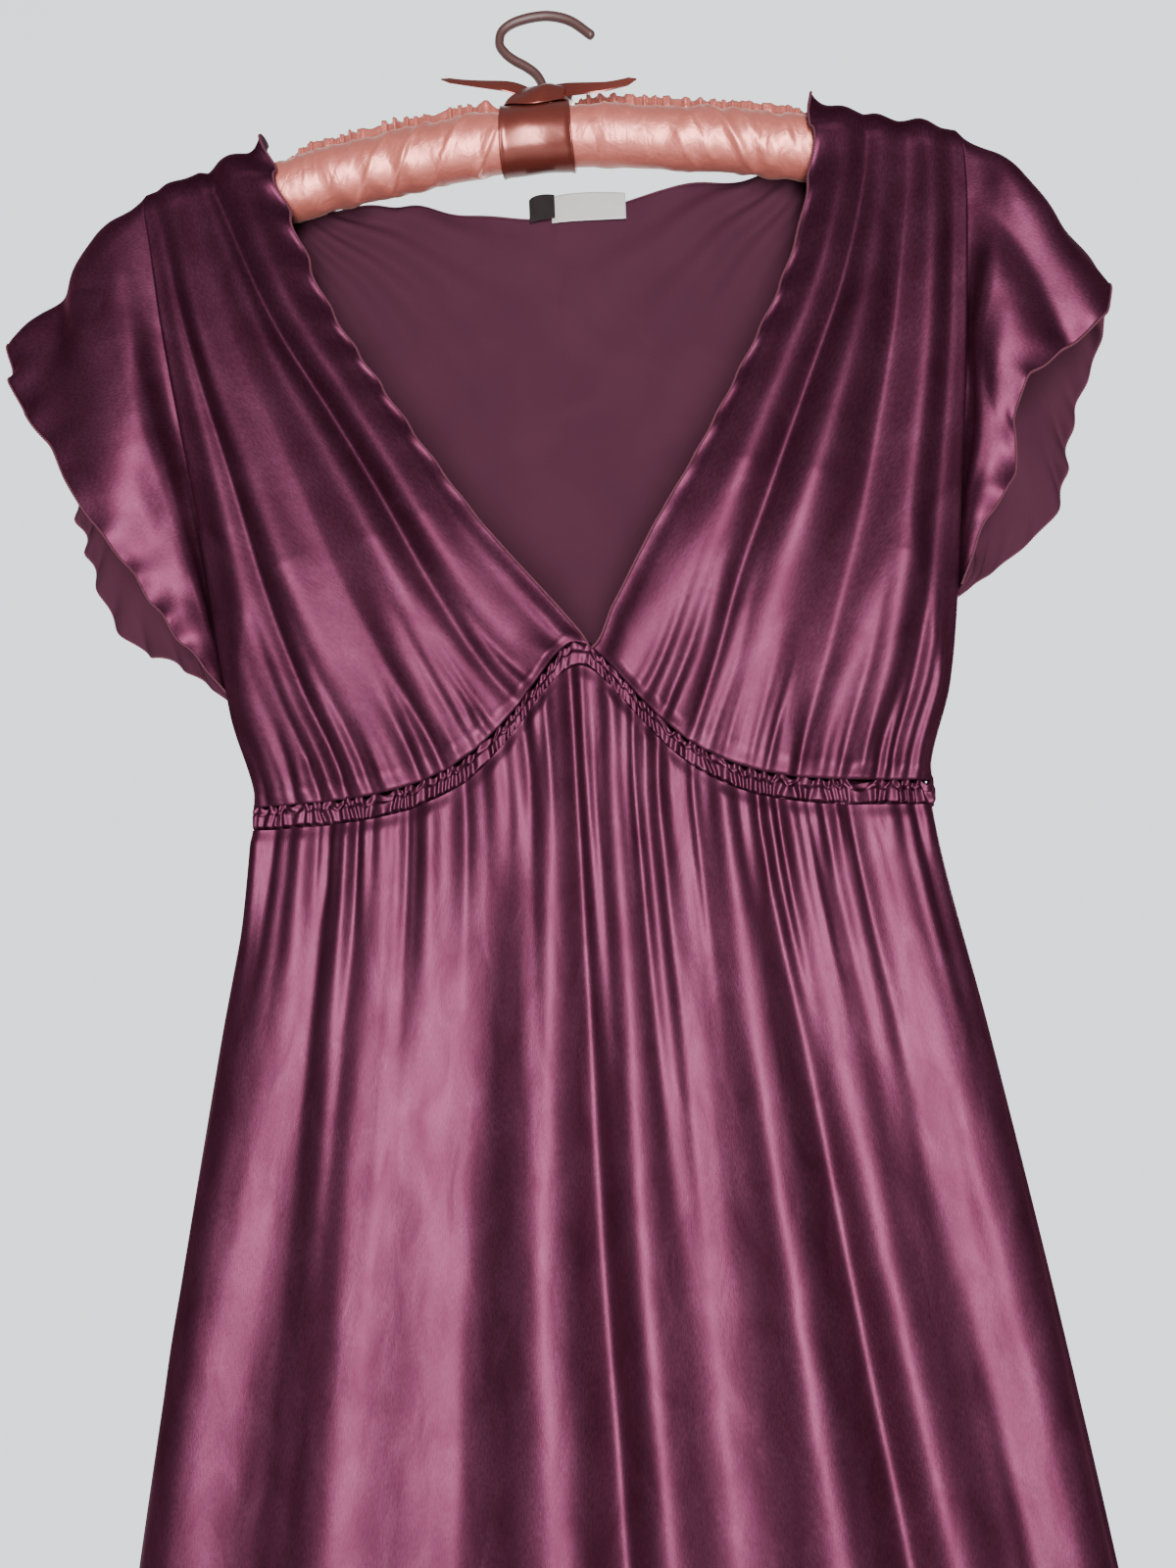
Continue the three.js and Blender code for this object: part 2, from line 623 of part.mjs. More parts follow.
/** A skirt panel, facing -1 for the front: u across it, v from the casing to the hem. */
function skirtPanel(facing) {
  return (u, v) => {
    const across = 2 * u - 1;
    const half = mix(WAIST_HALF, HEM_HALF, v);
    const top = waistHeight(across * WAIST_HALF, facing < 0) - CASING_HEIGHT - SEAM_GAP;
    const z = mix(top, -HEM_DEPTH, v);
    const depth = mix(WAIST_HALF_DEPTH, HEM_HALF_DEPTH, v);
    const y = GAP / 2 + (depth - GAP / 2) * roundness(across, 2.2);
    return new THREE.Vector3(across * half, facing * y, z);
  };
}

/** A rolled edge along a surface's border, outside it by half its own size and the seam gap. */
function rolledEdge(at, border, inwards, steps) {
  const reach = EDGE_DIAMETER / 2 + SEAM_GAP;
  const points = Array.from({ length: steps + 1 }, (_, k) => {
    const share = k / steps;
    const edge = at(...border(share));
    const away = edge.clone().sub(at(...inwards(share))).normalize();
    return edge.addScaledVector(away, reach);
  });
  return rod({ points, radius: EDGE_DIAMETER / 2, sides: 6, steps: Math.round(steps * 1.5) });
}

function label(size, x, name, material, group) {
  const inside = CLOTH / 2 + GAP + size.thickness / 2;
  const middle = bodiceDepth(x, -BACK_NECK_DEPTH);
  add(
    name,
    sheet({
      at: (u, v) =>
        new THREE.Vector3(
          x + (u - 0.5) * size.width,
          middle - inside,
          -BACK_NECK_DEPTH + size.rise - (1 - v) * size.height,
        ),
      columns: 4,
      rows: 2,
      thickness: size.thickness,
    }),
    material,
    group,
  );
}

function makeDress() {
  const dress = new THREE.Group();
  const panel = (name, at, columns, rows, extra = {}, material = "plum_satin") =>
    add(name, sheet({ at, columns, rows, thickness: CLOTH, ...extra }), material, dress);
  const edge = (name, at, border, inwards, steps) =>
    add(name, rolledEdge(at, border, inwards, steps), "plum_thread", dress);
  for (const [name, side] of SIDES) {
    panel(`bodice_front_${name}`, frontPanel(side), 9, 24);
    panel(`sleeve_${name}`, sleeve(side), 20, 5);
    edge(`neck_edge_${name}`, frontPanel(side), (t) => [0, mix(0.02, 0.94, t)], (t) => [0.04, mix(0.02, 0.94, t)], 24);
    edge(`sleeve_edge_${name}`, sleeve(side), (t) => [mix(0.02, 0.98, t), 1], (t) => [mix(0.02, 0.98, t), 0.9], 32);
  }
  panel("bodice_back", backPanel, 32, 16);
  edge("neck_edge_back", backPanel, (t) => [mix(0.3, 0.7, t), 0], (t) => [mix(0.3, 0.7, t), 0.02], 24);
  const ringExtra = { ring: true, thickness: CASING_THICKNESS };
  panel("waist_casing", waistRing(CASING_HEIGHT, 0), 44, 1, ringExtra);
  const elasticInset = CASING_THICKNESS / 2 + GAP + ELASTIC_THICKNESS / 2;
  const facingInset = elasticInset + ELASTIC_THICKNESS / 2 + GAP + FACING_THICKNESS / 2;
  const elasticDrop = (CASING_HEIGHT - ELASTIC_HEIGHT) / 2;
  const inward = ringInward();
  panel(
    "waist_elastic",
    waistRing(ELASTIC_HEIGHT, elasticDrop),
    44,
    1,
    { ring: true, thickness: ELASTIC_THICKNESS, offset: inward * elasticInset },
    "elastic",
  );
  panel("casing_facing", waistRing(CASING_HEIGHT, 0), 44, 1, {
    ring: true,
    thickness: FACING_THICKNESS,
    offset: inward * facingInset,
  });
  for (const [name, facing] of [["front", -1], ["back", 1]]) {
    panel(`skirt_${name}`, skirtPanel(facing), 32, 8);
    edge(`hem_edge_${name}`, skirtPanel(facing), (t) => [mix(0.01, 0.99, t), 1], (t) => [mix(0.01, 0.99, t), 0.98], 36);
  }
  label(BRAND_LABEL, 16, "brand_label", "label_grey", dress);
  label(SIZE_LABEL, -13, "size_label", "label_black", dress);
  return dress;
}

/** Which way along the waist ring's normal points towards its middle. */
function ringInward() {
  const at = waistRing(1, 0);
  const place = at(0.25, 0.5);
  const normal = at(0.251, 0.5).sub(at(0.249, 0.5)).cross(at(0.25, 0.51).sub(at(0.25, 0.49)));
  return Math.sign(-normal.y * place.y);
}

root.add(makeHook(), makeHanger(), makeDress());

export default root;
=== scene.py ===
"""Looks for a satin empire-line dress with flutter sleeves, hanging on a padded hanger with a swivel hook.

Shapes are worked out in millimetres and turned to metres when a mesh is made. +Z is up, -Y is the front
of the dress and -X is the left of the front view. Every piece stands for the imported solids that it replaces.
"""
import logging
import math
from dataclasses import dataclass
from enum import Enum
from functools import partial
from typing import Callable, Sequence

import bmesh
import bpy
import numpy as np
from mathutils import Matrix, Vector


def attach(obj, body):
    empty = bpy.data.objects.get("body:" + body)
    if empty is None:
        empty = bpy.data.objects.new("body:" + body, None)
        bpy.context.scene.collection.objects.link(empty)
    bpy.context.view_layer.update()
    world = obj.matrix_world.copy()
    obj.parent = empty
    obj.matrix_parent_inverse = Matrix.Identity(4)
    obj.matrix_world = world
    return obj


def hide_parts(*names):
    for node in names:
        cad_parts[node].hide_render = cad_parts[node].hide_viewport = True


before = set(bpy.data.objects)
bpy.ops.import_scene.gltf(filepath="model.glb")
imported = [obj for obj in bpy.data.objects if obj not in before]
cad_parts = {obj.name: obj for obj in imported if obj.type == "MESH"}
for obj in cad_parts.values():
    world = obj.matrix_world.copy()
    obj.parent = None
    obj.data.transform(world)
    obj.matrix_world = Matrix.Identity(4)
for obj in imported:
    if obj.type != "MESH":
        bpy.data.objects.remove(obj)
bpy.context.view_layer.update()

LOG = logging.getLogger("dress")
MM = 0.001
MM2 = 1e-6
SURFACE_IOR = 1.5
NOISE_RANGE = (0.1, 0.42)  # where the product of two noises mostly lies
ROUGHNESS_SPREAD = 0.05
RANDOM_LINE, RANDOM_GRID = 4096, 256  # how many random values a line and each side of a surface hold
LINE_START, GRID_START = 97.0, 41.0  # keeps places below 0 away from the first value
FLOOR_RADIUS, FLOOR_HEIGHT = 0.75, -1.30
CAMERA_LENS, CAMERA_SENSOR, CAMERA_NEAR = 27.0, 36.0, 0.02
CAMERA_YAW, CAMERA_PITCH, CAMERA_ROLL = 4.1, 3.3, 2.2
CAMERA_PLACE_MM = (49.26, -569.0, -419.97)
Array = np.ndarray


# --- Small mathematics ------------------------------------------------------------------------------------

def smooth(t: Array) -> Array:
    """Eases t from 0 to 1, and holds it at the ends."""
    t = np.clip(t, 0.0, 1.0)
    return t * t * (3.0 - 2.0 * t)


def mix(a: Array, b: Array, t: Array) -> Array:
    """The value t of the way from a to b."""
    return a + (b - a) * t


def through(places: Sequence[float], values: Sequence[float], at: Array) -> Array:
    """A smooth curve through a few values, with no overshoot.

    Args:
        places: Rising positions of the known values.
        values: The values there.
        at: Where the curve is wanted.

    Returns:
        The curve's values, held level past both ends.
    """
    p, y = np.asarray(places, float), np.asarray(values, float)
    rise = np.diff(y) / np.diff(p)
    slope = np.concatenate([rise[:1], (rise[:-1] + rise[1:]) / 2, rise[-1:]])
    flat = np.concatenate([[False], rise[:-1] * rise[1:] <= 0, [False]])
    slope[flat] = 0.0
    x = np.clip(at, p[0], p[-1])
    k = np.clip(np.searchsorted(p, x, side="right") - 1, 0, len(p) - 2)
    h = p[k + 1] - p[k]
    t = (x - p[k]) / h
    return (
        y[k] * (1 + 2 * t) * (1 - t) ** 2
        + y[k + 1] * t * t * (3 - 2 * t)
        + h * slope[k] * t * (1 - t) ** 2
        - h * slope[k + 1] * t * t * (1 - t)
    )


def spline(points: Sequence[Sequence[float]], shares: Array) -> Array:
    """A smooth line through points in space, read at shares of its length."""
    p = np.asarray(points, float)
    steps = np.linalg.norm(np.diff(p, axis=0), axis=1)
    along = np.concatenate([[0.0], np.cumsum(steps)]) / steps.sum()
    return np.stack([through(along, p[:, k], shares) for k in range(p.shape[1])], axis=-1)


def wander(at: Array, wavelength: float, seed: int) -> Array:
    """Smooth random numbers from -1 to 1 along a line, the same on each run."""
    values = np.random.default_rng(seed).uniform(-1.0, 1.0, RANDOM_LINE)
    x = np.asarray(at, float) / wavelength + LINE_START
    k = np.floor(x).astype(int)
    return mix(values[k % RANDOM_LINE], values[(k + 1) % RANDOM_LINE], smooth(x - k))


def wander2(x: Array, y: Array, size_x: float, size_y: float, seed: int) -> Array:
    """Smooth random numbers from -1 to 1 over a surface, the same on each run."""
    values = np.random.default_rng(seed).uniform(-1.0, 1.0, (RANDOM_GRID, RANDOM_GRID))
    a, b = np.asarray(x, float) / size_x + GRID_START, np.asarray(y, float) / size_y + GRID_START
    i, j = np.floor(a).astype(int), np.floor(b).astype(int)
    s, t = smooth(a - i), smooth(b - j)
    i0, i1, j0, j1 = i % RANDOM_GRID, (i + 1) % RANDOM_GRID, j % RANDOM_GRID, (j + 1) % RANDOM_GRID
    return mix(mix(values[i0, j0], values[i1, j0], s), mix(values[i0, j1], values[i1, j1], s), t)


def round_turn(steps: int) -> Array:
    """Angles once round, without the last, which is the first again."""
    return np.linspace(0, 2 * math.pi, steps, endpoint=False)


def normals_of(points: Array, closed: bool = False) -> Array:
    """Unit normals of a grid of points, from its rows and columns."""
    if closed:
        around = np.roll(points, -1, axis=1) - np.roll(points, 1, axis=1)
    else:
        around = np.gradient(points, axis=1)
    normal = np.cross(around, np.gradient(points, axis=0))
    return normal / np.maximum(np.linalg.norm(normal, axis=-1, keepdims=True), 1e-9)


def turned(normals: Array, towards: Array) -> Array:
    """Normals of a surface, all turned over together if most of them point away from the given directions."""
    return normals * np.sign((normals * towards).sum())


def blur_columns(values: Array, passes: int) -> Array:
    """Softens sharp creases across a grid, keeping its two side borders."""
    out = values.copy()
    for _ in range(passes):
        out[:, 1:-1] = 0.25 * out[:, :-2] + 0.5 * out[:, 1:-1] + 0.25 * out[:, 2:]
    return out


# --- Materials --------------------------------------------------------------------------------------------

def linear(hex_colour: str) -> tuple[float, float, float, float]:
    """An sRGB hex colour as linear light with full alpha."""
    parts = [int(hex_colour[i:i + 2], 16) / 255 for i in (1, 3, 5)]
    return (*[c / 12.92 if c <= 0.04045 else ((c + 0.055) / 1.055) ** 2.4 for c in parts], 1.0)


def add_node(tree: bpy.types.NodeTree, kind: str, links: dict | None = None, values: dict | None = None,
             **settings: object) -> bpy.types.Node:
    """Adds one node to a tree.

    Args:
        tree: The node tree.
        kind: The node's type name.
        links: Output sockets by the input they go to.
        values: Constant values by input.
        settings: The node's own properties.

    Returns:
        The new node.
    """
    node = tree.nodes.new(kind)
    for key, value in settings.items():
        setattr(node, key, value)
    for key, value in (values or {}).items():
        node.inputs[key].default_value = value
    for key, source in (links or {}).items():
        tree.links.new(source, node.inputs[key])
    return node


class Space(Enum):
    """Where a pattern's coordinates come from."""

    CLOTH = "UV"
    SOLID = "Object"


@dataclass(frozen=True)
class Finish:
    """One real material: its colours, its gloss and the size of its pattern.

    grain_mm and streak_mm are the width and the length of its threads or grain as drawn. crease_mm is the
    size of the soft unevenness in it. Depths are in millimetres.
    """

    name: str
    colour: str
    light_colour: str
    roughness: float = 0.5
    metallic: float = 0.0
    sheen: float = 0.0
    sheen_colour: str = "#FFFFFF"
    sheen_roughness: float = 0.4
    anisotropy: float = 0.0
    specular: float = 0.5
    edge_colour: str = "#FFFFFF"
    grain_mm: float = 0.8
    streak_mm: float = 4.0
    grain_depth: float = 0.03
    crease_mm: float = 18.0
    crease_depth: float = 0.2
    crease_stretch: float = 1.0
    mottle: float = 0.25
    space: Space = Space.CLOTH

    def build(self) -> bpy.types.Material:
        """Builds the material's nodes: thread streaks, soft mottling, and bump from grain and creases."""
        material = bpy.data.materials.new(self.name)
        material.use_nodes = True
        tree = material.node_tree
        tree.nodes.clear()
        node = partial(add_node, tree)
        where = node("ShaderNodeTexCoord").outputs[self.space.value]
        thread, streak = 1 / (self.grain_mm * MM), 1 / (self.streak_mm * MM)
        threads = node("ShaderNodeMapping", {"Vector": where}, {"Scale": (thread, streak, thread)})
        grain = node("ShaderNodeTexNoise", {"Vector": threads.outputs["Vector"]},
                     {"Scale": 1.0, "Detail": 3.0, "Roughness": 0.65})
        drawn = node("ShaderNodeMapping", {"Vector": where}, {"Scale": (1.0, 1 / self.crease_stretch, 1.0)})
        soft = node("ShaderNodeTexNoise", {"Vector": drawn.outputs["Vector"]},
                    {"Scale": 1 / (self.crease_mm * MM), "Detail": 3.0, "Roughness": 0.5, "Distortion": 0.6})
        blend = node("ShaderNodeMath", {0: grain.outputs["Fac"], 1: soft.outputs["Fac"]},
                     operation="MULTIPLY")
        spread = node("ShaderNodeMapRange", {"Value": blend.outputs["Value"]},
                      {"From Min": NOISE_RANGE[0], "From Max": NOISE_RANGE[1],
                       "To Min": 0.5 - self.mottle, "To Max": 0.5 + self.mottle})
        colour = node("ShaderNodeMix", {"Factor": spread.outputs["Result"]}, data_type="RGBA")
        colour.inputs[6].default_value = linear(self.colour)
        colour.inputs[7].default_value = linear(self.light_colour)
        gloss = node("ShaderNodeMapRange", {"Value": grain.outputs["Fac"]},
                     {"To Min": self.roughness - ROUGHNESS_SPREAD,
                      "To Max": self.roughness + ROUGHNESS_SPREAD})
        creases = node("ShaderNodeBump", {"Height": soft.outputs["Fac"]},
                       {"Strength": 1.0, "Distance": self.crease_depth * MM})
        weave = node("ShaderNodeBump", {"Height": grain.outputs["Fac"], "Normal": creases.outputs["Normal"]},
                     {"Strength": 1.0, "Distance": self.grain_depth * MM})
        shader = node("ShaderNodeBsdfPrincipled",
                      {"Base Color": colour.outputs[2], "Roughness": gloss.outputs["Result"],
                       "Normal": weave.outputs["Normal"]},
                      {"Metallic": self.metallic, "Sheen Weight": self.sheen,
                       "Sheen Tint": linear(self.sheen_colour), "Sheen Roughness": self.sheen_roughness,
                       "Anisotropic": self.anisotropy, "IOR": SURFACE_IOR,
                       "Specular IOR Level": self.specular, "Specular Tint": linear(self.edge_colour)})
        if self.anisotropy and self.space is Space.CLOTH:
            tangent = node("ShaderNodeTangent", direction_type="UV_MAP", uv_map="cloth")
            tree.links.new(tangent.outputs["Tangent"], shader.inputs["Tangent"])
        node("ShaderNodeOutputMaterial", {"Surface": shader.outputs["BSDF"]})
        material.diffuse_color = linear(self.colour)
        return material


PALETTE: dict[str, Finish] = {
    # Polyester charmeuse: a satin weave. Its long floats mirror light in their own colour, half metallic.
    "satin": Finish("plum_charmeuse_face", "#331524", "#452335", roughness=0.52, metallic=0.94,
        specular=0.22, edge_colour="#A8869A", anisotropy=0.2, grain_mm=0.9, streak_mm=2.6,
        grain_depth=0.06, crease_mm=17.0, crease_depth=0.28, crease_stretch=1.8, mottle=0.5),
    # The back of the same weave shows its short floats: matt, flat and a little redder.
    "matt": Finish("plum_charmeuse_back", "#250F1B", "#2D1520", roughness=0.85, specular=0.05,
        grain_mm=0.6, streak_mm=1.2, grain_depth=0.03, crease_mm=40.0, crease_depth=0.3, mottle=0.3),
    # Overlock thread, spun polyester: dull and slightly lighter than the satin.
    "thread": Finish("plum_overlock_thread", "#2A121C", "#45242F", roughness=0.8, specular=0.1,
        grain_mm=0.3, streak_mm=0.3, grain_depth=0.05, crease_mm=2.0, crease_depth=0.05, space=Space.SOLID),
    # Acetate satin on the hanger: bright, easily creased, so its highlights break up into patches.
    "coral": Finish("coral_acetate_satin", "#82443D", "#97524A", roughness=0.4, metallic=0.45, sheen=0.1,
        sheen_colour="#FFE3D6", anisotropy=0.3, grain_mm=0.5, streak_mm=2.5, grain_depth=0.03,
        crease_mm=9.0, crease_depth=0.7, mottle=0.3),
    # Double-faced polyester ribbon: the deepest colour on the hanger, smooth, with one long highlight.
    "ribbon": Finish("coral_satin_ribbon", "#4C1F1A", "#582822", roughness=0.25, metallic=0.6,
        anisotropy=0.5, grain_mm=0.4, streak_mm=6.0, grain_depth=0.01, crease_mm=14.0, crease_depth=0.15,
        mottle=0.2),
    # Flocked soft PVC tube on the hook: matt, dusty, hardly any highlight.
    "vinyl": Finish("dusty_vinyl_tube", "#281717", "#321E1D", roughness=0.5, specular=0.3, grain_mm=0.5,
        streak_mm=0.5, grain_depth=0.02, crease_mm=6.0, crease_depth=0.05, space=Space.SOLID),
    # Drawn mild-steel wire: fine lines along its length.
    "wire": Finish("drawn_steel_wire", "#8E8C8A", "#A8A6A2", roughness=0.35, metallic=1.0, grain_mm=0.3,
        streak_mm=6.0, grain_depth=0.01, crease_mm=8.0, crease_depth=0.02, space=Space.SOLID),
    # Steamed beech: short dark flecks along the grain.
    "beech": Finish("sanded_beech", "#B98A5E", "#D1A67C", roughness=0.6, grain_mm=0.6, streak_mm=9.0,
        grain_depth=0.05, crease_mm=30.0, crease_depth=0.1, mottle=0.4, space=Space.SOLID),
    # Polyester wadding: white and fibrous, with no gloss.
    "wadding": Finish("polyester_wadding", "#E9E5DD", "#F6F3EE", roughness=0.95, sheen=0.4, grain_mm=0.9,
        streak_mm=0.9, grain_depth=0.3, crease_mm=8.0, crease_depth=0.6, space=Space.SOLID),
    # Braided elastic: ribbed rubber threads under white yarn.
    "elastic": Finish("braided_elastic", "#DDD8D0", "#EEEAE4", roughness=0.85, sheen=0.2, grain_mm=1.0,
        streak_mm=12.0, grain_depth=0.2, crease_mm=5.0, crease_depth=0.1, space=Space.SOLID),
    # Slit-edge satin label tape: pale and slightly glossy, with no print.
    "label_pale": Finish("pale_satin_label", "#6F7172", "#828484", roughness=0.5, grain_mm=0.35,
        streak_mm=2.0, grain_depth=0.03, crease_mm=12.0, crease_depth=0.2, mottle=0.2),
    # Damask-woven label: dark, matt, with a plain border.
    "label_dark": Finish("dark_woven_label", "#0C0A0B", "#181416", roughness=0.8, specular=0.1,
        grain_mm=0.4, streak_mm=0.8, grain_depth=0.05, crease_mm=6.0, crease_depth=0.1, mottle=0.45),
}
FINISHES: dict[str, bpy.types.Material] = {}


def build_finishes() -> None:
    """Makes every material once."""
    for key, finish in PALETTE.items():
        FINISHES[key] = finish.build()


# --- Meshes -----------------------------------------------------------------------------------------------

def grid_faces(rows: int, columns: int, closed: bool = False) -> Array:
    """The quads of a grid of rows and columns of points; closed joins the last column to the first."""
    r, c = np.meshgrid(np.arange(rows - 1), np.arange(columns if closed else columns - 1), indexing="ij")
    here, right = r * columns + c, r * columns + (c + 1) % columns
    return np.stack([here, right, right + columns, here + columns], -1).reshape(-1, 4)


def cloth_object(name: str, points: Array, uv: Array, finishes: Sequence[str] = ("satin", "matt"),
                 thickness: float = 0.4, closed: bool = False,
                 outward: Callable[[Array], Array] | None = None, poles: bool = False) -> bpy.types.Object:
    """Makes a sheet of cloth with a thickness from a grid of points.

    Args:
        name: The piece's name.
        points: Rows by columns by three, in millimetres, on the outer face.
        uv: Rows by columns by two, in metres along the cloth.
        finishes: The face's finish, then the inner side's.
        thickness: The cloth's thickness in millimetres, added on the inner side; 0 leaves one layer.
        closed: Whether the last column joins the first.
        outward: Gives the outward direction at points; the faces are turned to it.
        poles: Whether rows that shrink to a point are closed there.

    Returns:
        The new object.
    """
    rows, columns = points.shape[:2]
    quads = grid_faces(rows, columns, closed)
    flat_points, flat_uv = points.reshape(-1, 3), uv.reshape(-1, 2)
    if outward is not None:
        a, b, d = (flat_points[quads[:, k]] for k in (0, 1, 3))
        facing = np.einsum("ij,ij->i", np.cross(b - a, d - a), outward((a + b + d) / 3))
        if facing.sum() < 0:
            quads = quads[:, ::-1]
    mesh = bpy.data.meshes.new(name)
    mesh.vertices.add(len(flat_points))
    mesh.vertices.foreach_set("co", (flat_points * MM).astype(np.float32).ravel())
    mesh.loops.add(quads.size)
    mesh.loops.foreach_set("vertex_index", quads.ravel().astype(np.int32))
    mesh.polygons.add(len(quads))
    mesh.polygons.foreach_set("loop_start", np.arange(0, quads.size, 4, dtype=np.int32))
    mesh.update(calc_edges=True)
    layer = mesh.uv_layers.new(name="cloth")
    layer.data.foreach_set("uv", flat_uv[quads.ravel()].astype(np.float32).ravel())
    mesh.polygons.foreach_set("use_smooth", np.ones(len(quads), bool))
    for key in finishes:
        mesh.materials.append(FINISHES[key])
    piece = put(name, mesh)
    if poles:
        close_poles(mesh)
    if thickness:
        wall = piece.modifiers.new("cloth", "SOLIDIFY")
        wall.thickness = thickness * MM
        wall.offset = -1.0
        wall.material_offset = len(finishes) - 1
        wall.material_offset_rim = 0
        apply_modifiers(piece)
    LOG.info("%s: %.5f m2 of cloth", name, cloth_area(points))
    return piece


def put(name: str, data: bpy.types.ID) -> bpy.types.Object:
    """Makes an object that holds some data, and links it to the scene."""
    made = bpy.data.objects.new(name, data)
    bpy.context.scene.collection.objects.link(made)
    return made


def close_poles(mesh: bpy.types.Mesh) -> None:
    """Merges the points of rows that have shrunk to one place."""
    shell = bmesh.new()
    shell.from_mesh(mesh)
    bmesh.ops.remove_doubles(shell, verts=shell.verts, dist=0.004 * MM)
    bmesh.ops.dissolve_degenerate(shell, edges=shell.edges, dist=0.002 * MM)
    shell.to_mesh(mesh)
    shell.free()


def apply_modifiers(piece: bpy.types.Object) -> None:
    """Turns a piece with modifiers into a plain mesh."""
    depsgraph = bpy.context.evaluated_depsgraph_get()
    made = bpy.data.meshes.new_from_object(piece.evaluated_get(depsgraph), depsgraph=depsgraph)
    made.name = piece.name
    piece.modifiers.clear()
    piece.data = made


def cloth_area(points: Array) -> float:
    """Area of a grid of points in millimetres, in square metres."""
    a = np.cross(points[1:, :-1] - points[:-1, :-1], points[:-1, 1:] - points[:-1, :-1])
    return float(np.linalg.norm(a, axis=-1).sum()) * MM2


# --- Folds ------------------------------------------------------------------------------------------------

@dataclass(frozen=True)
class Valley:
    """The bottom of one fold between two crests, running from the near end of a panel to the far one.

    places are its shares across the panel at the near end, the middle and the far end; rise is how far it
    stands above the cloth's lowest level at those three, as a share of the crests' height.
    """

    places: tuple[float, float, float]
    rise: tuple[float, float, float] = (0.0, 0.0, 0.0)


@dataclass
class Folds:
    """Folds across a panel: broad ones all the way, gathers that split them near the gathered edge.

    Sizes are in millimetres. heights are the broad crests' heights at the far end, and skew leans each
    crest to one side. near is what is left of the heights at the gathered edge, and full_at is the share of
    the length where they are whole. Each broad fold splits into gathers and each gather into pleats
    (splits), which run for their reach, in shares of the length. minor is the height of small folds that
    follow no border, and steepest the most that a crest may rise for its width.
    """

    valleys: Sequence[Valley]
    heights: Sequence[float]
    skew: Sequence[float]
    seed: int
    near: float = 0.1
    full_at: float = 0.35
    splits: tuple[int, int] = (2, 3)
    gather_height: float = 2.0
    pleat_height: float = 1.3
    gather_reach: float = 0.35
    pleat_reach: float = 0.12
    valley_width: float = 1.6
    meander: float = 0.012
    minor: float = 0.0
    minor_share: float = 0.042
    steepest: float = 0.3

    def borders(self, along: Array) -> Array:
        """Where the broad valleys are: one row of shares for each place along the panel."""
        columns = [through((0.0, 0.5, 1.0), v.places, along) for v in self.valleys]
        return np.stack([np.zeros_like(along), *columns, np.ones_like(along)], axis=1)

    def relief(self, across: Array, along: Array, widths: Array | None = None) -> Array:
        """Height of the cloth above its base surface.

        Args:
            across: Shares across the panel, rows by columns.
            along: Distance from the gathered edge as shares, rows by columns.
            widths: The panel's width at each row in millimetres; narrow places then get lower folds.

        Returns:
            Heights in millimetres, rows by columns.
        """
        rng = np.random.default_rng(self.seed)
        rows = along.mean(axis=1)
        broad = self.borders(rows)
        count = broad.shape[1] - 1
        rises = np.stack([np.zeros_like(rows)] + [through((0, 0.5, 1), v.rise, rows) for v in self.valleys]
                         + [np.zeros_like(rows)], axis=1)
        cuts = [np.sort(rng.dirichlet(np.full(self.splits[0] + k % 2, 3.5)).cumsum()[:-1])
                for k in range(count)]
        total = np.zeros_like(across)
        gathers = self._split(broad, cuts)
        pleat_cuts = [np.sort(rng.dirichlet(np.full(self.splits[1], 3.0)).cumsum()[:-1])
                      for _ in range(gathers.shape[1] - 1)]
        pleats = self._split(gathers, pleat_cuts)
        gather_reach = self.gather_reach * rng.uniform(0.25, 1.4, gathers.shape[1])
        gather_size = rng.uniform(0.4, 1.4, gathers.shape[1])
        pleat_reach = self.pleat_reach * rng.uniform(0.3, 1.9, pleats.shape[1])
        pleat_size = rng.uniform(0.4, 1.5, pleats.shape[1])
        heights, skew = np.asarray(self.heights, float), np.asarray(self.skew, float)
        grow = self.near + (1 - self.near) * smooth(rows / self.full_at)
        bend = np.sin(np.pi * across) * wander2(across, along, 0.16, 0.3, self.seed + 5)
        uneven = 0.7 + 0.6 * wander2(across, along, 0.2, 0.35, self.seed + 8)
        total += self.minor * smooth(along / 0.25) * uneven * (
            wander2(across + 0.03 * along, along, self.minor_share, 0.4, self.seed + 6)
            + 0.45 * wander2(across - 0.05 * along, along, 0.43 * self.minor_share, 0.22, self.seed + 7))
        for r in range(len(rows)):
            s, t = across[r] + self.meander * bend[r], along[r]
            k, a = self._cell(broad[r], s)
            crest = np.sin(np.pi * (a + skew[k] * a * (1 - a))) ** self.valley_width
            height = grow[r] * heights
            if widths is not None:
                height = np.minimum(height, self.steepest * widths[r] * np.diff(broad[r]))
            floor = rises[r] * np.minimum(np.r_[height[:1], height], np.r_[height, height[-1:]])
            total[r] += mix(mix(floor[k], floor[k + 1], smooth(a)), height[k], crest)
            k, a = self._cell(gathers[r], s)
            fade = smooth(1 - t / gather_reach[k])
            total[r] += self.gather_height * gather_size[k] * fade * np.sin(np.pi * a) ** 1.1
            k, a = self._cell(pleats[r], s)
            fade = smooth(1 - t / pleat_reach[k])
            total[r] += self.pleat_height * pleat_size[k] * fade * np.sin(np.pi * a) ** 1.2
        return total

    @staticmethod
    def _split(borders: Array, cuts: Sequence[Array]) -> Array:
        """Adds borders inside each cell at fixed shares of it."""
        columns = [borders[:, 0]]
        for k, inner in enumerate(cuts):
            lo, hi = borders[:, k], borders[:, k + 1]
            columns += [mix(lo, hi, share) for share in inner] + [hi]
        return np.stack(columns, axis=1)

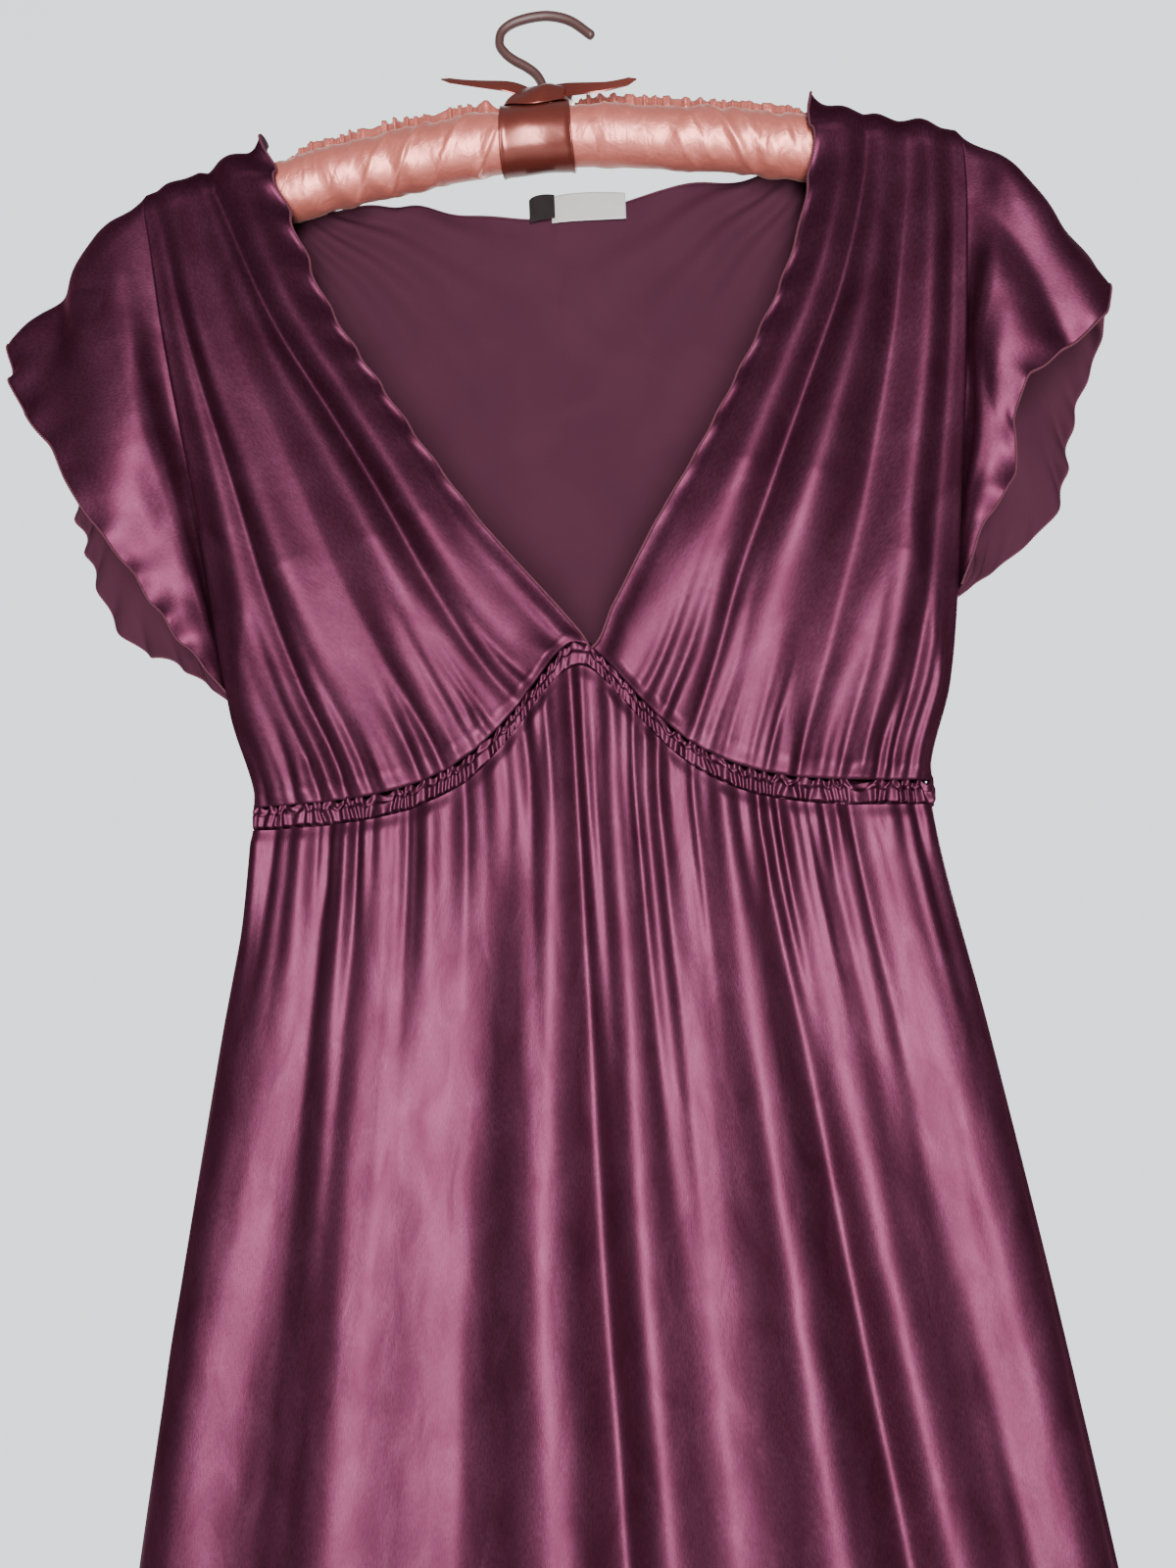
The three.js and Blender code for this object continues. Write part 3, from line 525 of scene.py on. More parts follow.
    @staticmethod
    def _cell(borders: Array, across: Array) -> tuple[Array, Array]:
        """Which cell each place is in, and how far across it."""
        k = np.clip(np.searchsorted(borders, across, side="right") - 1, 0, len(borders) - 2)
        return k, np.clip((across - borders[k]) / np.maximum(borders[k + 1] - borders[k], 1e-6), 0, 1)


# --- The dress --------------------------------------------------------------------------------------------

@dataclass
class DressShape:
    """Sizes that the panels share, in millimetres, and the lines that they are cut to."""

    pad_axis: float = 61.5
    arm_droop: float = 36.0
    droop_power: float = 1.6
    hanger_half: float = 208.0
    drape_radius: float = 18.0
    neck_corner: float = 136.0
    armhole_half: float = 200.0
    underarm_half: float = 176.0
    underarm_depth: float = 345.0
    waist_half: float = 164.0
    waist_depth: float = 392.5
    peak: float = 71.5
    peak_spread: float = 41.0
    peak_round: float = 5.0
    casing: float = 12.5
    waist_half_depth: float = 17.0
    hem_depth: float = 1058.0
    hem_half_depth: float = 55.0
    roundness: float = 2.6

    def axis(self, x: Array) -> Array:
        """Height of the hanger's pad axis."""
        return -self.pad_axis - self.arm_droop * (np.abs(x) / self.hanger_half) ** self.droop_power

    def waist(self, x: Array, front: bool = True) -> Array:
        """Height of the casing's top edge; at the front it climbs to a peak under the neckline."""
        if not front:
            return np.full_like(np.asarray(x, float), -self.waist_depth)
        rounded = np.hypot(x, self.peak_round) - self.peak_round
        return -self.waist_depth + self.peak * np.exp(-((rounded / self.peak_spread) ** 1.3))

    def lean(self, z: Array) -> Array:
        """How far the dress hangs to the right of the hook: a little at the waist, back to the left above."""
        return through((-330.0, -240.0, -150.0, -100.0, -50.0), (7.5, 6.0, 2.5, 0.0, -7.0), z)

    def neck(self, z: Array) -> Array:
        """Half the front neckline's width."""
        return through((-321.0, -283.0, -238.0, -195.0, -150.0, -106.0, -62.0),
                       (0.8, 27.5, 58.5, 85.0, 110.0, 125.5, self.neck_corner), z)

    def side(self, z: Array) -> Array:
        """Half the dress's width along the armhole, the side seam and the skirt."""
        return through((-1058.0, -755.0, -627.0, -508.0, -409.0, -392.0, -345.0, -233.0, -95.0),
                       (276.0, 229.0, 207.0, 184.5, 165.0, self.waist_half, self.underarm_half, 188.0,
                        self.armhole_half), z)

    def depth(self, share: Array, z: Array) -> Array:
        """Half the dress's depth from front to back, at a share of its half width."""
        middle = through((-1058.0, -409.0, -300.0, -180.0, -95.0),
                         (self.hem_half_depth, self.waist_half_depth, 20.0, 22.0, self.drape_radius), z)
        closing = smooth((-95.0 - z) / (self.underarm_depth - 95.0))
        return middle * mix(1.0, self.rounding(share), closing)

    def rounding(self, share: Array) -> Array:
        """How deep the closed dress is at a share of its half width: 1 in the middle, 0 at its side."""
        return np.maximum(0, 1 - np.minimum(1, np.abs(share)) ** self.roundness) ** (1 / self.roundness)


def front_back(sign: float) -> Callable[[Array], Array]:
    """The outward direction of a front panel (-1) or of a back one (+1)."""
    return lambda places: np.tile([0.0, sign, 0.0], (len(places), 1))


@dataclass
class Skirt:
    """The front and the back of the skirt, gathered into the casing.

    The flat sizes are in metres, and flare is the share of that rectangle that a flared panel fills. span
    is the width in millimetres over which the soft creases are spread.
    """

    shape: DressShape
    columns: int = 300
    rows: int = 150
    flat_width: float = 0.64
    flat_length: float = 0.68
    flare: float = 0.88
    span: float = 600.0

    def panel(self, name: str, front: bool, folds: Folds, creases: int) -> tuple[bpy.types.Object, Array]:
        """Builds one panel.

        Args:
            name: The piece's name.
            front: Whether it is the front.
            folds: Its folds.
            creases: Seed of the soft creases that the cloth keeps from being folded away.

        Returns:
            The panel, and the line of its hem.
        """
        shape = self.shape
        sign = -1.0 if front else 1.0
        u, v = np.meshgrid(np.linspace(0, 1, self.columns), np.linspace(0, 1, self.rows) ** 1.6)
        across = 2 * u - 1
        top = shape.waist(across * shape.waist_half, front) - shape.casing + 1.0
        z = mix(top, -shape.hem_depth, v)
        x = across * shape.side(z)
        y = sign * shape.depth(across, z)
        base = np.stack([x, y, z], axis=-1)
        normal = turned(normals_of(base), np.array([0.0, sign, 0.0]))
        edge = smooth((1 - np.abs(across)) / 0.035)
        length = shape.hem_depth + top
        along = (v * length) / length.max()
        relief = blur_columns(folds.relief(u, along), 2)
        relief += 1.6 * wander2(u * self.span, z, 60.0, 160.0, creases) * smooth(v / 0.25)
        relief += 0.5 * wander2(u * self.span + z * 0.5, z, 22.0, 34.0, creases + 1) * smooth(v / 0.4)
        relief = relief * mix(0.8, 1.0, smooth(along / 0.01)) + 0.5
        points = base + normal * (relief * edge)[..., None]
        points[..., 0] += shape.lean(z)
        uv = np.stack([across * self.flat_width / 2, -z * MM], axis=-1)
        return cloth_object(name, points, uv, outward=front_back(sign)), points[-1]


class Side(Enum):
    """A side of the front view, with the sign of its X."""

    LEFT = -1
    RIGHT = 1

    @property
    def word(self) -> str:
        """The side's name in piece names."""
        return self.name.lower()


@dataclass
class LettuceEdge:
    """The wavy border that an overlocker leaves when it stretches the cloth."""

    wave: float = 2.6
    length: float = 25.0
    reach: float = 7.0
    seed: int = 3

    def shift(self, along: Array, inwards: Array) -> tuple[Array, Array]:
        """How far the cloth moves off its surface and outwards in it, in millimetres.

        Args:
            along: Distance along the border.
            inwards: Distance from the border.

        Returns:
            The shift along the normal, and the shift away from the panel.
        """
        phase = 2 * math.pi * along / self.length + 2.2 * wander(along, 55.0, self.seed)
        size = self.wave * (0.65 + 0.45 * wander(along, 38.0, self.seed + 1))
        fade = np.exp(-((inwards / self.reach) ** 1.5))
        return size * np.sin(phase) * fade, 0.45 * size * np.cos(phase * 1.02 + 0.6) * fade


def lengths_along(points: Array) -> Array:
    """Distance down each column of a grid of points."""
    steps = np.linalg.norm(np.diff(points, axis=0), axis=-1)
    return np.concatenate([np.zeros((1, points.shape[1])), np.cumsum(steps, axis=0)])


def lengths_across(points: Array) -> Array:
    """Distance along each row of a grid of points."""
    steps = np.linalg.norm(np.diff(points, axis=1), axis=-1)
    return np.concatenate([np.zeros((points.shape[0], 1)), np.cumsum(steps, axis=1)], axis=1)


def cloth_uv(points: Array) -> Array:
    """Places on the flat cloth, in metres, from distances along the surface."""
    return np.stack([lengths_across(points), lengths_along(points)], axis=-1) * MM


@dataclass
class Bodice:
    """The two front panels and the back, from the shoulders to the casing.

    wrap is the share of each panel's length that lies on the hanger, late how late the panels turn to the
    casing's line, curl how far the neck's upper corners stand up, and cross how far right of the middle the
    neck edges meet. The corners are where the neck edges leave the hanger. seam is the share of the back's
    half top that the shoulder seam takes, and turn the share of the rest that turns down into the neckline.
    pull is the place, outwards and up, that the back's strain creases run from. panel is the mean width and
    length of a front panel.
    """

    shape: DressShape
    wrap: float = 0.13
    late: float = 6.0
    curl: float = 10.0
    cross: float = 6.0
    front_corner: float = 131.0
    back_corner: float = 125.0
    seam: float = 0.3
    turn: float = 0.16
    pull: tuple[float, float] = (152.0, -58.0)
    panel: tuple[float, float] = (150.0, 330.0)

    def over_pad(self, x: Array, angle: Array, facing: float) -> Array:
        """Places on the cloth where it lies over the hanger; angle 0 is the shoulder seam, 1 hangs free."""
        turn = angle * math.pi / 2
        radius = self.shape.drape_radius
        y, z = facing * radius * np.sin(turn), self.shape.axis(x) + radius * np.cos(turn)
        return np.stack([x, y, z], axis=-1)

    def front_base(self, u: Array, v: Array, cross: float) -> Array:
        """A front panel before its folds: u from the neck edge, v from the shoulder.

        cross is how far from the middle its neck edge meets the casing.
        """
        shape = self.shape
        angle = np.clip(v / self.wrap, 0, 1)
        x_pad = mix(mix(shape.neck_corner, self.front_corner, angle), shape.armhole_half, u)
        pad = self.over_pad(x_pad, angle, -1.0)
        t = np.clip((v - self.wrap) / (1 - self.wrap), 0, 1)
        neck_z = mix(shape.axis(self.front_corner), -shape.waist_depth + shape.peak, t)
        side_z = mix(shape.axis(shape.armhole_half), -shape.waist_depth, t)
        x = mix(shape.neck(neck_z) + cross * smooth((-255.0 - neck_z) / 66.0), shape.side(side_z), u)
        chord = mix(-shape.waist_depth + shape.peak, -shape.waist_depth, u)
        inside = mix(smooth(u / 0.12), 1.0, smooth((t - 0.93) / 0.07))
        z = mix(neck_z, side_z, u) + (shape.waist(x) - chord) * t ** self.late * inside
        y = -shape.depth(x / shape.side(z), z)
        hanging = np.stack([x, y, z], axis=-1)
        return np.where((v <= self.wrap)[..., None], pad, hanging)

    def front(self, side: Side, folds: Folds, edge: LettuceEdge) -> tuple[bpy.types.Object, Array]:
        """Builds one front panel.

        Args:
            side: Which one.
            folds: Its folds.
            edge: The wave of its neck edge.

        Returns:
            The panel, and the line of its neck edge.
        """
        rows = np.concatenate([np.linspace(0, 0.6, 100, endpoint=False), np.linspace(0.6, 1, 110)])
        u, v = np.meshgrid(np.linspace(0, 1, 150), rows)
        base = self.front_base(u, v, self.cross * side.value)
        normal = turned(normals_of(base), np.array([0.0, -1.0, 0.0]))
        inwards, down = lengths_across(base), lengths_along(base)
        relief = blur_columns(folds.relief(u, 1 - v, inwards[:, -1]), 2)
        relief *= mix(0.45, 1.0, smooth((v - 0.03) / 0.3))
        width, length = self.panel
        relief += 0.9 * wander2(u * width, v * length, 30.0, 90.0, folds.seed) * smooth(v / 0.2)
        relief *= smooth(u / 0.05) * smooth((1 - u) / mix(0.28, 0.06, smooth((v - 0.6) / 0.3)))
        relief += 0.25 * np.exp(-(((1 - u) * inwards[:, -1:] / 2.8) ** 2)) * smooth((v - self.wrap) / 0.1)
        relief *= mix(0.6, 1.0, smooth((1 - v) / 0.02))
        relief += 0.8 * smooth((v - 0.975) / 0.02)
        off, out = edge.shift(down, inwards)
        taut = mix(1.0, 0.12, smooth((v - 0.45) / 0.4)) * smooth((1 - v) / 0.08)
        lip = self.curl * np.clip(1 - inwards / 11.0, 0, 1) ** 1.6 * np.clip(1 - down / 26.0, 0, 1)
        points = base + normal * (relief + off * taut + lip)[..., None]
        points[..., 0] -= out * taut
        points[..., 0] *= side.value
        points[..., 0] += self.shape.lean(points[..., 2])
        piece = cloth_object(f"bodice_front_{side.word}_cloth", points, cloth_uv(base),
                             outward=front_back(-1.0))
        return piece, points[:, 0]

    def back(self, folds: Folds, edge: LettuceEdge) -> tuple[bpy.types.Object, Array]:
        """Builds the back panel; returns it with the line of its neckline."""
        shape, radius = self.shape, self.shape.drape_radius
        columns = np.linspace(-1, 1, 240)
        rows = np.concatenate([np.linspace(0, 0.7, 90, endpoint=False), np.linspace(0.7, 1, 60)])
        across, v = np.meshgrid(columns, rows)
        inwards = 1 - np.abs(across)
        at_shoulder = inwards < self.seam
        t = np.clip((inwards - self.seam) / (1 - self.seam), 0, 1)
        turn = np.where(at_shoulder, 0.0, np.clip(t / self.turn, 0, 1))
        past_turn = np.clip((t - self.turn) / (1 - self.turn), 0, 1)
        x0 = np.where(at_shoulder, mix(shape.armhole_half, shape.neck_corner, inwards / self.seam),
                      mix(mix(shape.neck_corner, self.back_corner, turn), 0.0, past_turn))
        neckline = through((0.0, 20.0, 45.0, 66.0, 95.0, self.back_corner),
                           (-92.0, -91.5, -86.5, -82.0, -80.5, -79.5), x0)
        drop = np.where(turn < 1, 0.0, np.maximum(0.0, shape.axis(x0) - neckline))
        quarter = radius * math.pi / 2
        arc = quarter * (1 - turn)
        top = shape.axis(x0) - drop
        fall = top + shape.waist_depth
        travelled = np.where(v < self.wrap, v / self.wrap * quarter,
                             mix(quarter, arc + fall, (v - self.wrap) / (1 - self.wrap)))
        on_pad = travelled < arc
        angle = turn + np.where(arc > 0, travelled / np.maximum(arc, 1e-6), 1.0) * (1 - turn)
        z = top - (travelled - arc)
        limit = shape.side(z)
        x = mix(x0, np.abs(across) * limit, smooth(1.5 * (travelled - arc) / fall))
        y = shape.depth(x / limit, z)
        base = np.where(on_pad[..., None], self.over_pad(x0, np.clip(angle, 0, 1), 1.0),
                        np.stack([x, y, z], axis=-1))
        base[..., 0] *= np.sign(across)
        normal = turned(normals_of(base), np.array([0.0, 1.0, 0.0]))
        u = (across + 1) / 2
        relief = blur_columns(folds.relief(u, 1 - v), 2) * smooth((v - 0.02) / 0.3)
        width, length = self.panel
        relief += 0.8 * smooth(v / 0.1) * wander2(u * 2 * width + v * 120, v * length, 34.0, 80.0, folds.seed)
        beside, below = self.pull[0] - np.abs(base[..., 0]), self.pull[1] - base[..., 2]
        ray, reach = np.arctan2(below, beside), np.hypot(below, beside)
        pulled = np.sin(30 * ray + 2.5 * wander(reach, 40.0, folds.seed + 2) + 1.5 * np.sign(across))
        strain = np.exp(-((reach / 120.0) ** 2)) * smooth((reach - 28) / 30) * smooth(1.6 - ray)
        relief += 2.6 * pulled * strain
        relief *= smooth(inwards / 0.03)
        down, along = lengths_along(base), lengths_across(base)
        off, out = edge.shift(along, down)
        taut = smooth((inwards - 0.42) / 0.06)
        clear = 1.6 * smooth((60.0 - np.abs(base[..., 0])) / 20.0) * smooth((-70.0 - base[..., 2]) / 12.0)
        points = base + normal * (relief + off * taut + clear)[..., None]
        points[..., 2] += out * taut
        points[..., 0] += shape.lean(points[..., 2])
        piece = cloth_object("bodice_back_cloth", points, cloth_uv(base), outward=front_back(1.0))
        return piece, points[0, np.abs(columns) < 0.6]


@dataclass
class Sleeve:
    """One flutter sleeve: a shaped cap whose free edge is left open under the arm.

    hem holds places of its free edge in millimetres, from the front underarm over the tip to the back one,
    with X counted away from the middle. lobe is the height of the roll at the tip, and on_pad the share of
    each half of the armhole seam that lies on the hanger. inside is a place that the whole sleeve goes
    round, and panel its length along the armhole and its depth.
    """

    shape: DressShape
    side: Side
    underarm: float
    hem: Sequence[tuple[float, float, float]]
    folds: Folds
    edge: LettuceEdge
    lobe: float
    on_pad: float = 0.16
    inside: tuple[float, float, float] = (150.0, 0.0, -230.0)
    panel: tuple[float, float] = (400.0, 80.0)

    def armhole(self, a: Array) -> Array:
        """The seam from the front underarm (0), over the shoulder (0.5), to the back underarm (1)."""
        shape = self.shape
        facing = np.where(a < 0.5, -1.0, 1.0)
        down = np.abs(a - 0.5) * 2
        top = shape.axis(shape.armhole_half)
        turn = np.clip(down / self.on_pad, 0, 1) * math.pi / 2
        radius = shape.drape_radius
        z = np.where(down < self.on_pad, top + radius * np.cos(turn),
                     mix(top, -self.underarm, (down - self.on_pad) / (1 - self.on_pad)))
        hanging = z < top
        x = np.where(hanging, shape.side(z), shape.armhole_half)
        y = np.where(hanging, shape.depth(1.0, z), radius * np.sin(turn))
        return np.stack([x, facing * y, z], axis=-1)

    def build(self) -> tuple[bpy.types.Object, Array]:
        """Builds the sleeve; returns it with the line of its free edge."""
        a, v = np.meshgrid(np.linspace(0, 1, 240), np.linspace(0, 1, 70))
        seam = self.armhole(a)
        hem = spline(self.hem, a[0])[None].repeat(len(a), axis=0)
        base = mix(seam, hem, v[..., None])
        fullness = np.sin(np.pi * v) * np.sin(np.pi * a)
        base[..., 1] += 7.0 * fullness * np.sign(a - 0.5) * np.abs(np.cos(np.pi * a)) ** 0.6
        base[..., 2] += 3.0 * fullness * np.sin(np.pi * a) ** 4
        normal = turned(normals_of(base), base - self.inside)
        relief = self.folds.relief(a, v) * smooth(v / 0.25) * smooth((lengths_along(base)[-1:] - 5.0) / 30.0)
        relief = blur_columns(relief, 3)
        relief += 0.7 * wander2(a * self.panel[0], v * self.panel[1], 26.0, 40.0, self.folds.seed)
        relief *= smooth(a / 0.05) * smooth((1 - a) / 0.05) * smooth(v / 0.08)
        tip = np.exp(-(((a - 0.47) / 0.085) ** 2))
        roll = np.exp(-(((v - 0.93) / 0.14) ** 2)) - 0.9 * np.exp(-(((v - 0.68) / 0.1) ** 2))
        relief += self.lobe * tip * roll
        along, down = lengths_across(base), lengths_along(base)
        off, out = self.edge.shift(along, down[-1:] - down)
        ends = smooth(a / 0.04) * smooth((1 - a) / 0.04) * smooth((down[-1:] - 2.0) / 22.0)
        outwards = (hem - seam) / np.maximum(np.linalg.norm(hem - seam, axis=-1, keepdims=True), 1e-6)
        points = base + normal * (relief + off * ends)[..., None] + outwards * (out * ends)[..., None]
        points[..., 0] *= self.side.value
        points[..., 0] += self.shape.lean(points[..., 2])
        inside = self.inside * np.array([self.side.value, 1.0, 1.0])
        piece = cloth_object(f"sleeve_{self.side.word}_cloth", points, cloth_uv(base),
                             outward=lambda p: p - inside)
        return piece, points[-1]


@dataclass
class Waistband:
    """The ruched casing round the waist, with its raised seam, and the facing and the elastic inside it.

    pleat and puff are the width and the height of its puckers. flat_ring weighs a place on the flat waist
    so that it points out of the ring.
    """

    shape: DressShape
    pleat: float = 4.9
    puff: float = 2.1
    seed: int = 31
    clearance: float = 0.8
    flat_ring: tuple[float, float, float] = (1.0, 8.0, 0.0)

    def ring(self, columns: int, rows: int, inset: float, drop: float,
             height: float) -> tuple[Array, Array, Array]:
        """A plain ring of points that follows the waist.

        Args:
            columns: Places round the waist.
            rows: Places down it.
            inset: How far inside the casing it lies.
            drop: How far its top edge is below the casing's.
            height: Its height.

        Returns:
            The points, their distance round the waist, and their share of the height.
        """
        shape = self.shape
        turn, v = np.meshgrid(round_turn(columns), np.linspace(0, 1, rows))
        share = np.sign(np.cos(turn)) * np.abs(np.cos(turn)) ** 0.8
        front = np.sin(turn) < 0
        outset = self.clearance - inset
        x = (shape.waist_half + outset) * share
        y = np.where(front, -1, 1) * (shape.waist_half_depth + outset) * shape.rounding(share)
        z = np.where(front, shape.waist(x), -shape.waist_depth) - drop - v * height
        steps = np.linalg.norm(np.diff(np.stack([x[0], y[0], z[0]], axis=-1), axis=0), axis=-1)
        s = np.concatenate([[0.0], np.cumsum(steps)])[None].repeat(rows, axis=0)
        return np.stack([x + shape.lean(z), y, z], axis=-1), s, v

    def lining(self, name: str, inset: float, drop: float, height: float, thickness: float,
               finish: str) -> bpy.types.Object:
        """Builds a plain ring: the facing or the elastic."""
        points, s, v = self.ring(400, 8, inset, drop, height)
        y = points[..., 1]
        points[..., 1] = y + 0.25 * np.sin(s / 1.4) * np.sign(y) * smooth(np.abs(y) / 6)
        uv = np.stack([s * MM, v * height * MM], axis=-1)
        return cloth_object(name, points, uv, (finish, finish), thickness, closed=True, outward=self.outward)

    def outward(self, places: Array) -> Array:
        """The outward direction at places on the ring."""
        return places * self.flat_ring

    def build(self) -> bpy.types.Object:
        """Builds the casing as one closed ring of cloth."""
        casing = self.shape.casing
        points, s, v = self.ring(1600, 30, 0.0, -0.5, casing + 0.5)
        level = points[:1] * np.ones((len(points), 1, 1))
        normal = normals_of(np.stack([level[..., 0], level[..., 1], -v], axis=-1), closed=True)
        normal = turned(normal, self.outward(points))
        slant = 3.4 * wander(s, 8.0, self.seed) * (v - 0.5)
        slant += wander2(s, 16 * v, 7.0, 6.0, self.seed + 4)
        phase = 2 * math.pi * (s + slant) / self.pleat + 4.0 * wander(s, 11.0, self.seed + 1)
        size = self.puff * (0.85 + 0.6 * wander(s, 6.0, self.seed + 2))
        body = smooth((v - 0.2) / 0.22) * smooth((0.96 - v) / 0.2)  # the puckered part
        seams = smooth(v / 0.05) * smooth((0.36 - v) / 0.18)  # the raised seam above it
        relief = size * (0.5 + 0.5 * np.sin(phase)) * body + 0.9 * body
        relief += seams * (1.1 + 1.0 * np.sin(phase * 0.83 + 1.0))
        relief += 0.4 + 0.6 * (0.5 + 0.5 * np.sin(phase * 0.9)) * smooth((v - 0.88) / 0.1)
        relief *= mix(0.3, 1.0, smooth(np.abs(points[..., 1]) / 9.0))
        points = points + normal * relief[..., None]
        points[..., 2] += 1.5 * np.sin(phase * 0.61 + 0.5) * (1 - v) ** 2
        points[..., 2] += 0.8 * wander(s, 7.0, self.seed + 3)
        uv = np.stack([s * MM, v * casing * MM], axis=-1)
        return cloth_object("waist_casing_cloth", points, uv, closed=True, outward=self.outward)


class RolledEdge:
    """An overlocked edge: a cord of thread with a loop over it at every stitch, made by Geometry Nodes."""

    SLACK = 1.15  # how much wider than the cord its loops are
    TILT = (0.45, 0.0, 0.0)  # how far each loop leans along the edge
    CORD_SIDES, THREAD_SIDES = {"Resolution": 7}, {"Resolution": 4}

    def __init__(self, cord: float = 0.5, spacing: float = 1.4, loop: float = 0.2) -> None:
        """Builds the node tree.

        Args:
            cord: Radius of the rolled cloth in millimetres.
            spacing: Distance between stitches in millimetres.
            loop: Radius of the thread in millimetres.
        """
        self.sizes = {"Cord Radius": cord * MM, "Stitch Spacing": spacing * MM, "Thread Radius": loop * MM}
        self.tree = bpy.data.node_groups.new("rolled_edge", "GeometryNodeTree")
        face = self.tree.interface
        face.new_socket("Geometry", in_out="INPUT", socket_type="NodeSocketGeometry")
        face.new_socket("Geometry", in_out="OUTPUT", socket_type="NodeSocketGeometry")
        self.inputs = {name: face.new_socket(name, in_out="INPUT", socket_type="NodeSocketFloat").identifier
                       for name in self.sizes}
        node = partial(add_node, self.tree)
        given = node("NodeGroupInput").outputs
        ring = node("GeometryNodeCurvePrimitiveCircle", {"Radius": given["Cord Radius"]}, self.CORD_SIDES)
        core = node("GeometryNodeCurveToMesh",
                    {"Curve": given["Geometry"], "Profile Curve": ring.outputs["Curve"]}, {"Fill Caps": True})
        thread = node("GeometryNodeCurvePrimitiveCircle", {"Radius": given["Thread Radius"]},
                      self.THREAD_SIDES)
        wide = node("ShaderNodeMath", {0: given["Cord Radius"]}, {1: self.SLACK}, operation="MULTIPLY")
        hoop = node("GeometryNodeCurvePrimitiveCircle", {"Radius": wide.outputs["Value"]}, self.CORD_SIDES)
        loop_mesh = node("GeometryNodeCurveToMesh",
                         {"Curve": hoop.outputs["Curve"], "Profile Curve": thread.outputs["Curve"]})
        dots = node("GeometryNodeCurveToPoints",
                    {"Curve": given["Geometry"], "Length": given["Stitch Spacing"]}, mode="LENGTH")
        tilt = node("FunctionNodeRotateRotation", {"Rotation": dots.outputs["Rotation"]},
                    {"Rotate By": self.TILT}, rotation_space="LOCAL")
        loops = node("GeometryNodeInstanceOnPoints",
                     {"Points": dots.outputs["Points"], "Instance": loop_mesh.outputs["Mesh"],
                      "Rotation": tilt.outputs["Rotation"]})
        joined = node("GeometryNodeJoinGeometry")
        for part in (loops.outputs["Instances"], core.outputs["Mesh"]):
            self.tree.links.new(part, joined.inputs["Geometry"])
        real = node("GeometryNodeRealizeInstances", {"Geometry": joined.outputs["Geometry"]})
        soft = node("GeometryNodeSetShadeSmooth", {"Geometry": real.outputs["Geometry"]})
        dressed = node("GeometryNodeSetMaterial", {"Geometry": soft.outputs["Geometry"]},
                       {"Material": FINISHES["thread"]})
        node("NodeGroupOutput", {"Geometry": dressed.outputs["Geometry"]})

    def along(self, name: str, points: Array) -> bpy.types.Object:
        """Builds the edge along a line of points in millimetres."""
        curve = bpy.data.curves.new(name + "_line", "CURVE")
        curve.dimensions = "3D"
        strand = curve.splines.new("POLY")
        strand.points.add(len(points) - 1)
        strand.points.foreach_set("co", np.c_[points * MM, np.ones(len(points))].astype(np.float32).ravel())
        line = put(name + "_line", curve)
        stitches = line.modifiers.new("rolled_edge", "NODES")
        stitches.node_group = self.tree
        for size, value in self.sizes.items():
            stitches[self.inputs[size]] = value
        depsgraph = bpy.context.evaluated_depsgraph_get()
        mesh = bpy.data.meshes.new_from_object(line.evaluated_get(depsgraph), depsgraph=depsgraph)
        mesh.name = name
        bpy.data.objects.remove(line)
        return put(name, mesh)


# --- The hanger -------------------------------------------------------------------------------------------

